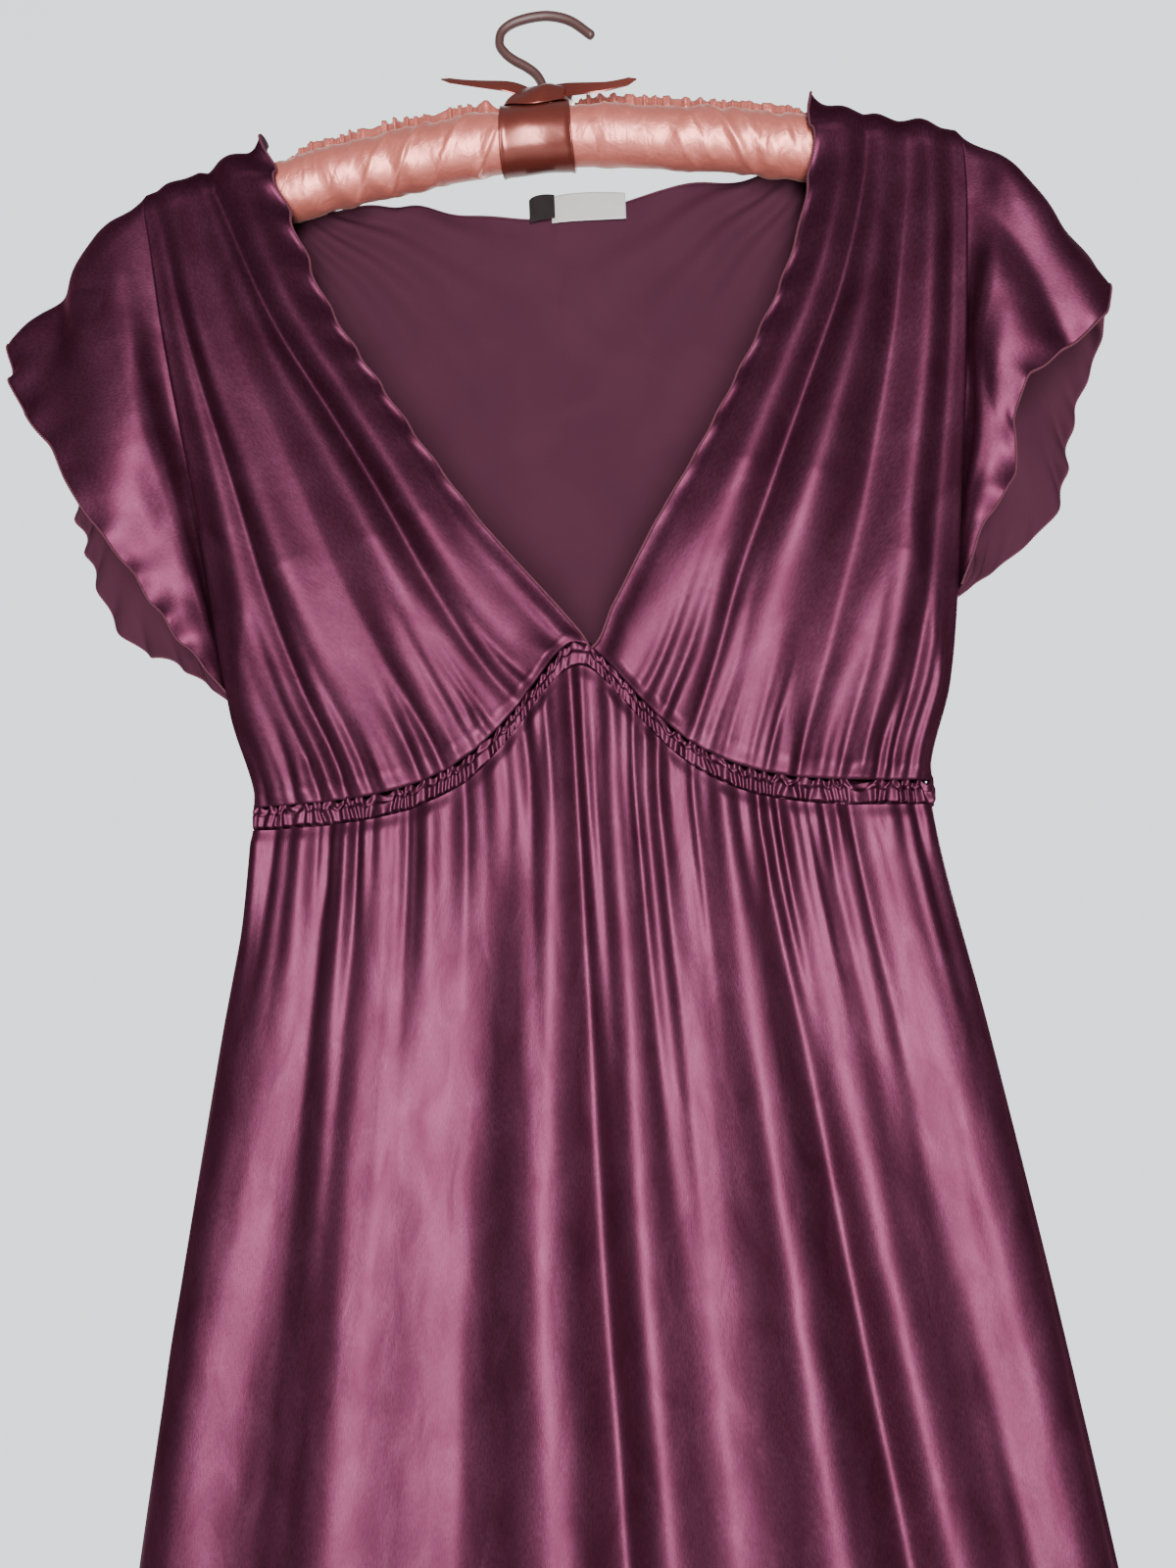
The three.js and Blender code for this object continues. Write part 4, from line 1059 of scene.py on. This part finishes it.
@dataclass
class PaddedHanger:
    """The satin-covered hanger, its ribbon and its hook, in millimetres.

    The hook's line is drawn for a bend one unit wide to each side and one high, scaled by bend_half and
    bend_rise.
    """

    shape: DressShape
    radius: float = 14.3
    band: tuple[float, float] = (-22.0, 13.5)
    band_radius: float = 15.8
    tube_radius: float = 2.3
    bend_half: float = 22.0
    bend_rise: float = 13.0
    tube_steps: int = 150
    tube_sides: int = 24
    tip_steps: int = 8

    def tube(self) -> bpy.types.Object:
        """Builds the soft tube over the hook's wire, from inside the ribbon's knot to its rounded tip."""
        bend = ((0.0, -3.6), (-0.01, -3.15), (-0.05, -2.75), (-0.18, -2.33), (-0.41, -1.98), (-0.66, -1.7),
                (-0.87, -1.38), (-1.0, -0.96), (-0.95, -0.54), (-0.74, -0.24), (-0.4, -0.06), (0.0, 0.0),
                (0.37, -0.1), (0.67, -0.32), (1.1, -0.92))
        line = spline([(self.bend_half * x, 0.0, self.tube_radius + self.bend_rise * z) for x, z in bend],
                      np.linspace(0, 1, self.tube_steps))
        along = np.gradient(line, axis=0)
        along /= np.linalg.norm(along, axis=1, keepdims=True)
        past = np.linspace(0, 1, self.tip_steps + 1)[1:]
        line = np.concatenate([line, line[-1] + along[-1] * self.tube_radius * past[:, None]])
        radii = self.tube_radius * np.concatenate([np.ones(self.tube_steps), np.sqrt(1 - past ** 2)])
        along = np.concatenate([along, np.tile(along[-1], (self.tip_steps, 1))])
        turn = round_turn(self.tube_sides)[None, :, None]
        side = np.array([0.0, 1.0, 0.0])
        up = np.cross(along, side)[:, None]
        points = line[:, None] + radii[:, None, None] * (np.cos(turn) * side + np.sin(turn) * up)
        quads = grid_faces(len(line), self.tube_sides, True)
        centre = line.repeat(self.tube_sides, axis=0)[quads[:, 0]]
        return cloth_object("hook_sleeve", points, points[..., :2] * MM, ("vinyl",), thickness=0.0,
                            closed=True, outward=lambda p: p - centre, poles=True)

    def round_pad(self, x: Array, turn: Array, radius: Array) -> Array:
        """Places about the pad's axis; turn 0 is on top and a quarter is at the front."""
        return np.stack([x, -radius * np.sin(turn), self.shape.axis(x) + radius * np.cos(turn)], axis=-1)

    def cover(self, side: Side) -> bpy.types.Object:
        """Builds one arm's satin cover, gathered into a seam along its top and drawn in at its end."""
        seed = 101 + side.value * 10
        half = self.shape.hanger_half
        turn, x = np.meshgrid(round_turn(96), np.linspace(3.0, half, 420))
        past = np.clip((x - (half - self.radius)) / self.radius, 0, 1)
        radius = self.radius * np.sqrt(np.maximum(1 - past ** 2, 0))
        front = np.minimum(turn, 2 * math.pi - turn)
        phase = x / 1.35 + 3.0 * wander(x + 40 * (turn > math.pi), 14.0, seed)
        gathers = np.maximum(0.0, np.sin(phase + 0.4 * wander2(x, front * 14, 12.0, 20.0, seed + 1)))
        gathers *= np.exp(-((front / 1.0) ** 1.5)) * (0.7 + 0.6 * wander(x, 17.0, seed + 2))
        ripple = wander2(x + 6 * front, front * 14, 9.0, 42.0, seed + 3)
        dents = wander2(x, turn * 14, 24.0, 17.0, seed + 4)
        hollow = -0.9 * np.exp(-(((x - 20) / 7.0) ** 2))
        tension = np.maximum(0.0, wander2(x - 8 * front, front * 6, 5.5, 40.0, seed + 5)) ** 2
        relief = 0.9 * gathers + 0.75 * ripple + 0.5 * dents + 1.3 * tension + hollow
        relief = np.clip(relief, -0.55, mix(0.7, 4.0, smooth((x - 22.5) / 5)))
        radius = radius + relief * np.sqrt(np.maximum(1 - past, 0))
        points = self.round_pad(x, turn, radius)
        points[..., 0] *= side.value
        uv = np.stack([turn * self.radius * MM, x * MM], axis=-1)
        return cloth_object(f"cover_{side.word}_satin", points, uv, ("coral",), 0.3, closed=True, poles=True,
                            outward=lambda p: p - self.pad_line(p))

    def pad_line(self, places: Array) -> Array:
        """The nearest places on the pad's axis."""
        return np.stack([places[:, 0], 0 * places[:, 0], self.shape.axis(places[:, 0])], axis=-1)

    def frill(self, side: Side) -> bpy.types.Object:
        """Builds the ruffled heading that stands along one arm's top seam."""
        seed = 131 + side.value * 8
        start, tall = (23.0, 9.0) if side is Side.LEFT else (15.0, 7.5)
        end = self.shape.hanger_half - self.radius
        x, v = np.meshgrid(np.linspace(start, end, 900), np.linspace(0, 1, 9))
        height = mix(tall, 2.4, smooth((x - 122) / 14)) * (0.9 + 0.12 * wander(x, 9.0, seed))
        height *= mix(0.55, 1.0, smooth((x - start) / 7))
        phase = 2 * math.pi * x / 6.6 + 4.0 * wander(x, 12.0, seed + 1)
        sway = 0.17 * height * (0.9 + 0.6 * wander(x, 11.0, seed + 2))
        points = self.round_pad(x, np.zeros_like(x), self.radius + 0.3 + height * v)
        points[..., 0] -= 0.2 * sway * np.sin(2 * phase) * v
        points[..., 1] += (sway * np.sin(phase) + 0.05 * height * np.sin(2.7 * phase)) * v ** 0.5
        points[..., 0] *= side.value
        uv = np.stack([x * 1.7 * MM, v * 0.01], axis=-1)
        return cloth_object(f"cover_frill_{side.word}_satin", points, uv, ("coral", "coral"), 0.3,
                            outward=front_back(-1.0))

    def ribbon_band(self) -> bpy.types.Object:
        """Builds the wide ribbon about the middle of the pad, with its raised selvedges."""
        turn, u = np.meshgrid(round_turn(160), np.linspace(0, 1, 44))
        x = mix(self.band[0], self.band[1], u) + 1.2 * np.cos(turn) * (0.5 - u)
        edge = np.exp(-((np.minimum(u, 1 - u) / 0.045) ** 2))
        radius = self.band_radius + 0.55 * edge + 0.35 * wander2(x, turn * 15, 13.0, 11.0, 151)
        radius += 0.5 * np.sin(3 * turn + 5 * u) * np.maximum(0, np.cos(turn)) ** 2
        points = self.round_pad(x, turn, radius)
        uv = np.stack([turn * self.band_radius * MM, x * MM], axis=-1)
        return cloth_object("ribbon_band_satin", points, uv, ("ribbon", "ribbon"), 0.35, closed=True,
                            outward=lambda p: p - self.pad_line(p))

    def ribbon_knot(self) -> bpy.types.Object:
        """Builds the ribbon drawn up into pleats round the foot of the hook."""
        turn, v = np.meshgrid(round_turn(144), np.linspace(0, 1, 40))
        low = np.clip(v / 0.8, 0, 1)
        flare = 1 - low ** 1.8
        reach_x = mix(7.0, 17.4, flare)
        reach_y = mix(5.6, 13.6, flare)
        pleats = 0.9 * np.sin(7 * turn + 1.3 * wander(turn * 9, 6.0, 157))
        pleats *= np.sin(np.pi * np.clip(low * 1.15, 0, 1))
        x = reach_x * np.cos(turn) + pleats * np.cos(turn)
        y = reach_y * np.sin(turn) + pleats * np.sin(turn)
        centre = mix(-4.3, 0.0, smooth(low * 1.4))
        seat = self.shape.axis(x) + np.sqrt(np.maximum((self.band_radius + 0.9) ** 2 - y ** 2, 0))
        z = mix(seat, -37.6 + 0.0 * x, 1 - (1 - low) ** 1.35) + 0.8 * np.sin(5 * turn + 1.0) * low ** 3
        inner = smooth((v - 0.8) / 0.2)
        x, y = mix(x, 3.0 * np.cos(turn), inner), mix(y, 3.0 * np.sin(turn), inner)
        z = z + 0.9 * np.sin(np.pi * inner) - 1.6 * inner ** 2
        points = np.stack([x + centre * (1 - inner), y, z], axis=-1)
        uv = np.stack([turn * 10 * MM, v * 14 * MM], axis=-1)
        return cloth_object("ribbon_knot_satin", points, uv, ("ribbon", "ribbon"), 0.4, closed=True,
                            outward=lambda p: p - [0.0, 0.0, -52.0])

    def ribbon_tail(self, side: Side) -> bpy.types.Object:
        """Builds one narrow free end of the ribbon, cut to a point."""
        if side is Side.LEFT:
            line = ((-5.0, -2.0, -40.6), (-14.0, -5.0, -37.6), (-22.0, -6.5, -36.4), (-34.0, -6.0, -34.0),
                    (-44.0, -4.5, -31.0), (-52.0, -3.5, -28.4))
        else:
            line = ((6.0, -4.0, -40.0), (12.0, -8.0, -42.4), (20.0, -10.5, -44.2), (29.0, -11.0, -44.6),
                    (38.0, -10.5, -43.4), (46.5, -9.5, -41.2))
        u, v = np.meshgrid(np.linspace(0, 1, 70), np.linspace(-1, 1, 9))
        centre = spline(line, u[0])[None]
        width = 4.1 * (1 - 0.5 * smooth(u / 0.9)) * np.minimum(1.0, (1.02 - u) / 0.12)
        tilt = 1.35 + 0.25 * u * side.value
        across = np.stack([0 * u, -np.cos(tilt), -np.sin(tilt)], axis=-1)
        points = centre + across * (v * width)[..., None]
        points[..., 2] += 0.8 * (1 - v ** 2) * np.sin(np.pi * u)
        uv = np.stack([v * width * MM, u * 0.05], axis=-1)
        return cloth_object(f"ribbon_tail_{side.word}_satin", points, uv, ("ribbon", "ribbon"), 0.3,
                            outward=lambda p: np.tile([0.0, -1.0, 1.0], (len(p), 1)))


@dataclass
class Label:
    """A label sewn inside the back neckline by its lower edge, curled above it.

    Sizes are in millimetres: centre and foot place it, and behind is how far back it lies.
    """

    name: str
    centre: float
    width: float
    height: float
    foot: float
    tilt: float
    curl: float
    finish: str
    behind: float = 17.1

    def build(self) -> bpy.types.Object:
        """Builds the label."""
        u, v = np.meshgrid(np.linspace(-1, 1, 48), np.linspace(0, 1, 20))
        roll = self.curl * np.maximum(0, -u) ** 2 * 2.2
        x = self.centre + self.width / 2 * (u + 0.22 * np.maximum(0, -u - 0.3) ** 2 * 2)
        z = self.foot + v * self.height + self.tilt * u * self.width / 2 - 1.3 * v * u ** 2
        y = self.behind + 0.25 * (v + roll)
        points = np.stack([x, y, z], axis=-1)
        uv = np.stack([u * self.width / 2 * MM, v * self.height * MM], axis=-1)
        return cloth_object(f"{self.name}_tape", points, uv, (self.finish, "label_pale"), 0.25,
                            outward=front_back(-1.0))


# --- The folds of each panel and the sleeves' free edges --------------------------------------------------

FRONT_SKIRT_FOLDS = Folds(
    valleys=(Valley((0.13, 0.15, 0.17), (0.3, 0.5, 0.4)), Valley((0.33, 0.35, 0.34), (0.3, 0.1, 0.0)),
             Valley((0.50, 0.51, 0.525), (0.2, 0.0, 0.0)), Valley((0.60, 0.62, 0.64), (0.2, 0.25, 0.3)),
             Valley((0.75, 0.79, 0.82), (0.2, 0.0, 0.0)), Valley((0.87, 0.90, 0.93), (0.4, 0.4, 0.4))),
    heights=(14.0, 19.0, 20.0, 16.0, 21.0, 16.0, 11.0),
    skew=(0.4, 0.45, -0.4, 0.35, -0.45, 0.4, -0.2),
    seed=11, near=0.22, full_at=0.45, gather_height=5.2, pleat_height=2.7, gather_reach=0.34,
    pleat_reach=0.1, minor=1.5,
)
BACK_SKIRT_FOLDS = Folds(
    valleys=(Valley((0.12, 0.13, 0.15)), Valley((0.27, 0.29, 0.30)), Valley((0.42, 0.43, 0.45)),
             Valley((0.58, 0.57, 0.56)), Valley((0.71, 0.72, 0.70)), Valley((0.86, 0.87, 0.86))),
    heights=(12.0, 18.0, 15.0, 19.0, 15.0, 18.0, 12.0),
    skew=(0.3, -0.4, 0.4, -0.2, 0.4, -0.4, 0.2),
    seed=23, near=0.22, full_at=0.45, gather_height=3.6, pleat_height=2.0, gather_reach=0.34,
    pleat_reach=0.1, minor=1.4,
)
LEFT_FRONT_FOLDS = Folds(
    valleys=(Valley((0.20, 0.27, 0.52), (0.3, 0.0, 0.1)), Valley((0.42, 0.52, 0.68), (0.3, 0.45, 0.8)),
             Valley((0.70, 0.80, 0.95), (0.1, 0.0, 0.1))),
    heights=(13.0, 14.0, 15.0, 9.0), skew=(-0.35, 0.35, -0.45, 0.3), seed=41,
    near=0.3, full_at=0.45, splits=(3, 3), gather_height=4.2, pleat_height=2.4, gather_reach=0.25,
    pleat_reach=0.1, valley_width=1.4, minor=0.7, minor_share=0.16,
)
RIGHT_FRONT_FOLDS = Folds(
    valleys=(Valley((0.28, 0.28, 0.40), (0.2, 0.1, 0.5)), Valley((0.60, 0.62, 0.60), (0.1, 0.0, 0.0)),
             Valley((0.86, 0.90, 0.93), (0.4, 0.45, 0.5))),
    heights=(13.0, 15.0, 15.0, 8.0), skew=(-0.35, 0.4, -0.4, 0.3), seed=47,
    near=0.3, full_at=0.45, splits=(3, 3), gather_height=4.2, pleat_height=2.4, gather_reach=0.25,
    pleat_reach=0.1, valley_width=1.4, minor=0.7, minor_share=0.16,
)
BACK_FOLDS = Folds(
    valleys=(Valley((0.22, 0.2, 0.12)), Valley((0.42, 0.40, 0.36), (0.3, 0.5, 0.8)),
             Valley((0.6, 0.62, 0.65), (0.3, 0.5, 0.8)), Valley((0.79, 0.8, 0.88))),
    heights=(6.0, 6.0, 5.0, 6.0, 6.0), skew=(0.2, -0.2, 0.0, 0.2, -0.2), seed=53,
    near=0.3, full_at=0.5, splits=(3, 3), gather_height=1.8, pleat_height=1.1, gather_reach=0.3,
    pleat_reach=0.1,
)
LEFT_SLEEVE_FOLDS = Folds(
    valleys=(Valley((0.16, 0.16, 0.16), (0.7, 0.6, 0.6)), Valley((0.42, 0.405, 0.40), (0.8, 0.2, 0.0)),
             Valley((0.56, 0.57, 0.58), (0.8, 0.4, 0.3)), Valley((0.78, 0.8, 0.8), (0.5, 0.2, 0.2))),
    heights=(4.0, 8.0, 9.0, 7.0, 4.0), skew=(0.2, 0.4, -0.3, 0.2, -0.2), seed=61,
    gather_height=0.7, pleat_height=0.3, meander=0.03, minor=0.9, minor_share=0.09,
)
RIGHT_SLEEVE_FOLDS = Folds(
    valleys=(Valley((0.2, 0.2, 0.18), (0.5, 0.3, 0.3)), Valley((0.37, 0.36, 0.34), (0.6, 0.2, 0.1)),
             Valley((0.52, 0.5, 0.5), (0.7, 0.5, 0.4)), Valley((0.74, 0.76, 0.76), (0.5, 0.2, 0.2))),
    heights=(4.0, 7.0, 7.0, 8.0, 4.0), skew=(0.2, -0.4, 0.4, 0.2, -0.2), seed=67,
    gather_height=0.7, pleat_height=0.3, meander=0.03, minor=0.9, minor_share=0.09,
)
LEFT_SLEEVE_HEM = (
    (176.0, -2.0, -336.0), (201.0, -13.0, -301.0), (218.0, -19.0, -271.0), (243.0, -21.0, -230.0),
    (251.0, -22.0, -212.0), (262.0, -20.0, -199.0), (270.5, -12.0, -178.0), (269.0, 0.0, -158.0),
    (263.0, 12.0, -173.0), (264.0, 19.0, -205.0), (266.0, 21.0, -222.0), (260.0, 21.0, -251.0),
    (249.0, 21.0, -283.0), (234.0, 18.0, -304.0), (212.0, 11.0, -314.0), (177.0, 2.0, -338.0),
)
RIGHT_SLEEVE_HEM = (
    (183.0, -6.0, -300.0), (195.0, -11.0, -271.0), (209.0, -15.0, -248.0), (208.0, -18.0, -229.0),
    (213.0, -19.0, -210.0), (233.0, -19.0, -197.0), (251.0, -15.0, -182.0), (262.0, 0.0, -158.0),
    (264.0, 13.0, -175.0), (251.0, 19.0, -211.0), (245.0, 20.0, -235.0), (238.0, 19.0, -260.0),
    (217.0, 14.0, -280.0), (183.0, 6.0, -304.0),
)


# --- Scene ------------------------------------------------------------------------------------------------

def set_camera() -> None:
    """Puts the camera in front of the dress, a little to its right and level with the ribs."""
    camera = bpy.data.cameras.new("camera")
    camera.lens, camera.sensor_width, camera.clip_start = CAMERA_LENS, CAMERA_SENSOR, CAMERA_NEAR
    holder = put("camera", camera)
    yaw, pitch, roll = (math.radians(degrees) for degrees in (CAMERA_YAW, CAMERA_PITCH, CAMERA_ROLL))
    forward = Vector((-math.sin(yaw) * math.cos(pitch), math.cos(yaw) * math.cos(pitch), math.sin(pitch)))
    right = Vector((math.cos(yaw), math.sin(yaw), 0.0))
    up = right.cross(forward)
    image_right = right * math.cos(roll) - up * math.sin(roll)
    image_up = up * math.cos(roll) + right * math.sin(roll)
    place = Matrix((image_right, image_up, -forward)).transposed().to_4x4()
    place.translation = Vector(CAMERA_PLACE_MM) * MM
    holder.matrix_world = place
    bpy.context.scene.camera = holder


def area_light(name: str, place: tuple, target: tuple, size: tuple[float, float], watts: float,
               colour: str) -> None:
    """Adds one soft light, size wide and high, that points at a target; places are in metres."""
    light = bpy.data.lights.new(name, "AREA")
    light.shape = "RECTANGLE"
    light.size, light.size_y = size
    light.energy = watts
    light.color = linear(colour)[:3]
    holder = put(name, light)
    holder.location = place
    holder.rotation_euler = (Vector(target) - Vector(place)).to_track_quat("-Z", "Y").to_euler()


def set_light() -> None:
    """A soft key in front, weak lights behind, and a pale world that is brightest behind the dress."""
    area_light("key", (0.12, -1.4, -0.64), (0.0, 0.0, -0.56), (0.3, 1.4), 130.0, "#FFF8F4")
    area_light("rim_left", (-1.6, 0.6, 0.4), (0.0, 0.0, -0.4), (0.9, 0.9), 8.0, "#F2F5FF")
    area_light("back", (0.7, 1.7, 0.1), (0.0, 0.0, -0.5), (0.7, 1.6), 55.0, "#F8F6FF")
    world = bpy.data.worlds.new("studio")
    bpy.context.scene.world = world
    world.use_nodes = True
    tree = world.node_tree
    background = tree.nodes["Background"]
    background.inputs["Color"].default_value = linear("#D2D7D9")
    direction = add_node(tree, "ShaderNodeTexCoord").outputs["Generated"]
    facing = add_node(tree, "ShaderNodeSeparateXYZ", {0: direction})
    glow = add_node(tree, "ShaderNodeMapRange", {"Value": facing.outputs["Y"]},
                    {"From Min": 0.2, "From Max": 0.75, "To Min": 0.62, "To Max": 2.55},
                    interpolation_type="SMOOTHSTEP")
    tree.links.new(glow.outputs["Result"], background.inputs["Strength"])


def set_floor() -> None:
    """A plain pale floor under the hem."""
    mesh = bpy.data.meshes.new("floor")
    turns = round_turn(96)
    ring = [(FLOOR_RADIUS * math.cos(a), FLOOR_RADIUS * math.sin(a), FLOOR_HEIGHT) for a in turns]
    mesh.from_pydata(ring, [], [list(range(len(ring)))])
    floor = put("floor", mesh)
    paint = Finish("pale_floor_paint", "#D4D6D6", "#DADCDC", roughness=0.8, grain_depth=0.0,
                   space=Space.SOLID)
    mesh.materials.append(paint.build())


def settle(piece: bpy.types.Object, body: str, node: str, slot: str, **sheet: object) -> None:
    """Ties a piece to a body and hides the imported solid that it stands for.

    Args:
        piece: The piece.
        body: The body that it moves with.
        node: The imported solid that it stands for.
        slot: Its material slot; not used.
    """
    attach(piece, body)
    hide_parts(node)
    LOG.info("%s stands for %s on %s", piece.name, node, body)


def make_dress() -> None:
    """Builds every piece of the dress."""
    shape = DressShape()
    edging = RolledEdge()
    bodice = Bodice(shape)
    lines: dict[str, Array] = {}
    for side, folds, seed in ((Side.LEFT, LEFT_FRONT_FOLDS, 71), (Side.RIGHT, RIGHT_FRONT_FOLDS, 79)):
        piece, lines[f"neck_edge_{side.word}"] = bodice.front(side, folds, LettuceEdge(seed=seed))
        settle(piece, "dress", f"bodice_front_{side.word}", "plum_satin", flat=(0.26, 0.38), held="gathered",
               rests_on=["cover_" + side.word, "waist_casing"], area=0.055)
    piece, lines["neck_edge_back"] = bodice.back(BACK_FOLDS, LettuceEdge(wave=1.2, length=34.0, seed=83))
    settle(piece, "dress", "bodice_back", "plum_satin", flat=(0.44, 0.38), held="hung",
           rests_on=["cover_left", "cover_right"], area=0.14)
    for side, underarm, hem, folds, seed, lobe in (
        (Side.LEFT, 336.0, LEFT_SLEEVE_HEM, LEFT_SLEEVE_FOLDS, 89, 5.0),
        (Side.RIGHT, 302.0, RIGHT_SLEEVE_HEM, RIGHT_SLEEVE_FOLDS, 97, 1.5),
    ):
        edge = LettuceEdge(wave=3.2, length=23.0, reach=9.0, seed=seed)
        sleeve = Sleeve(shape, side, underarm, hem, folds, edge, lobe)
        piece, lines[f"sleeve_edge_{side.word}"] = sleeve.build()
        settle(piece, "dress", f"sleeve_{side.word}", "plum_satin", flat=(0.56, 0.085), held="hung",
               rests_on=[f"bodice_front_{side.word}_cloth"], area=0.028)
    waistband = Waistband(shape)
    settle(waistband.build(), "dress", "waist_casing", "plum_satin", flat=(1.00, 0.016), held="gathered",
           rests_on=["waist_elastic_band"])
    facing = waistband.lining("casing_facing_cloth", inset=3.4, drop=0.8, height=11.2, thickness=0.5,
                              finish="matt")
    settle(facing, "dress", "casing_facing", "plum_satin", flat=(0.72, 0.0125), held="gathered",
           rests_on=["waist_elastic_band"])
    elastic = waistband.lining("waist_elastic_band", inset=1.6, drop=1.6, height=9.6, thickness=0.9,
                               finish="elastic")
    settle(elastic, "dress", "waist_elastic", "elastic", flat=(0.66, 0.010), held="stretched",
           rests_on=["casing_facing_cloth"])
    skirt = Skirt(shape)
    for end, front, folds, creases in (("front", True, FRONT_SKIRT_FOLDS, 5),
                                       ("back", False, BACK_SKIRT_FOLDS, 9)):
        piece, lines[f"hem_edge_{end}"] = skirt.panel(f"skirt_{end}_cloth", front, folds, creases)
        settle(piece, "dress", f"skirt_{end}", "plum_satin", flat=(skirt.flat_width, skirt.flat_length),
               held="gathered", rests_on=["waist_casing"],
               area=skirt.flare * skirt.flat_width * skirt.flat_length)
    for name, line in lines.items():
        settle(edging.along(name + "_stitches", line), "dress", name, "plum_thread")


def make_labels() -> None:
    """Builds the two plain labels at the back neck."""
    for label, slot in (
        (Label("brand_label", 16.5, 43.0, 15.0, -96.0, -0.03, 3.0, "label_pale"), "label_grey"),
        (Label("size_label", -6.0, 15.0, 13.5, -94.0, 0.1, 2.0, "label_dark"), "label_black"),
    ):
        settle(label.build(), "dress", label.name, slot, flat=(label.width * MM, label.height * MM),
               held="hung", rests_on=["bodice_back_cloth"])


def make_hanger() -> None:
    """Builds the hanger, its ribbon and its hook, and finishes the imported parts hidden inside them."""
    hanger = PaddedHanger(DressShape())
    settle(hanger.tube(), "hook", "hook_tube", "hook_tube")
    for side in Side:
        cover = hanger.cover(side)
        settle(cover, "hanger", f"cover_{side.word}", "coral_satin", flat=(0.225, 0.092), held="gathered",
               rests_on=[f"wadding_{side.word}"])
        settle(hanger.frill(side), "hanger", f"cover_frill_{side.word}", "coral_satin", flat=(0.28, 0.010),
               held="gathered", rests_on=[cover.name], area=0.0013)
        settle(hanger.ribbon_tail(side), "hanger", f"ribbon_tail_{side.word}", "coral_ribbon",
               flat=(0.050, 0.010), held="laid", rests_on=["ribbon_knot_satin"], area=0.0003)
    settle(hanger.ribbon_band(), "hanger", "ribbon_band", "coral_ribbon", flat=(0.101, 0.036),
           held="stretched", rests_on=["cover_left_satin"])
    settle(hanger.ribbon_knot(), "hanger", "ribbon_knot", "coral_ribbon", flat=(0.07, 0.016),
           held="gathered", rests_on=["ribbon_band_satin"])
    for node, finish in (("core", "beech"), ("wadding_left", "wadding"), ("wadding_right", "wadding"),
                         ("hook_wire", "wire"), ("hook_washer", "wire"), ("hook_head", "wire")):
        mesh = bpy.data.objects[node].data
        mesh.materials.clear()
        mesh.materials.append(FINISHES[finish])


def main() -> None:
    """Builds the looks in order and reports each piece."""
    logging.basicConfig(level=logging.INFO, format="%(name)s: %(message)s")
    set_camera()
    set_light()
    set_floor()
    build_finishes()
    make_hanger()
    make_dress()
    make_labels()


if __name__ == "__main__":
    main()
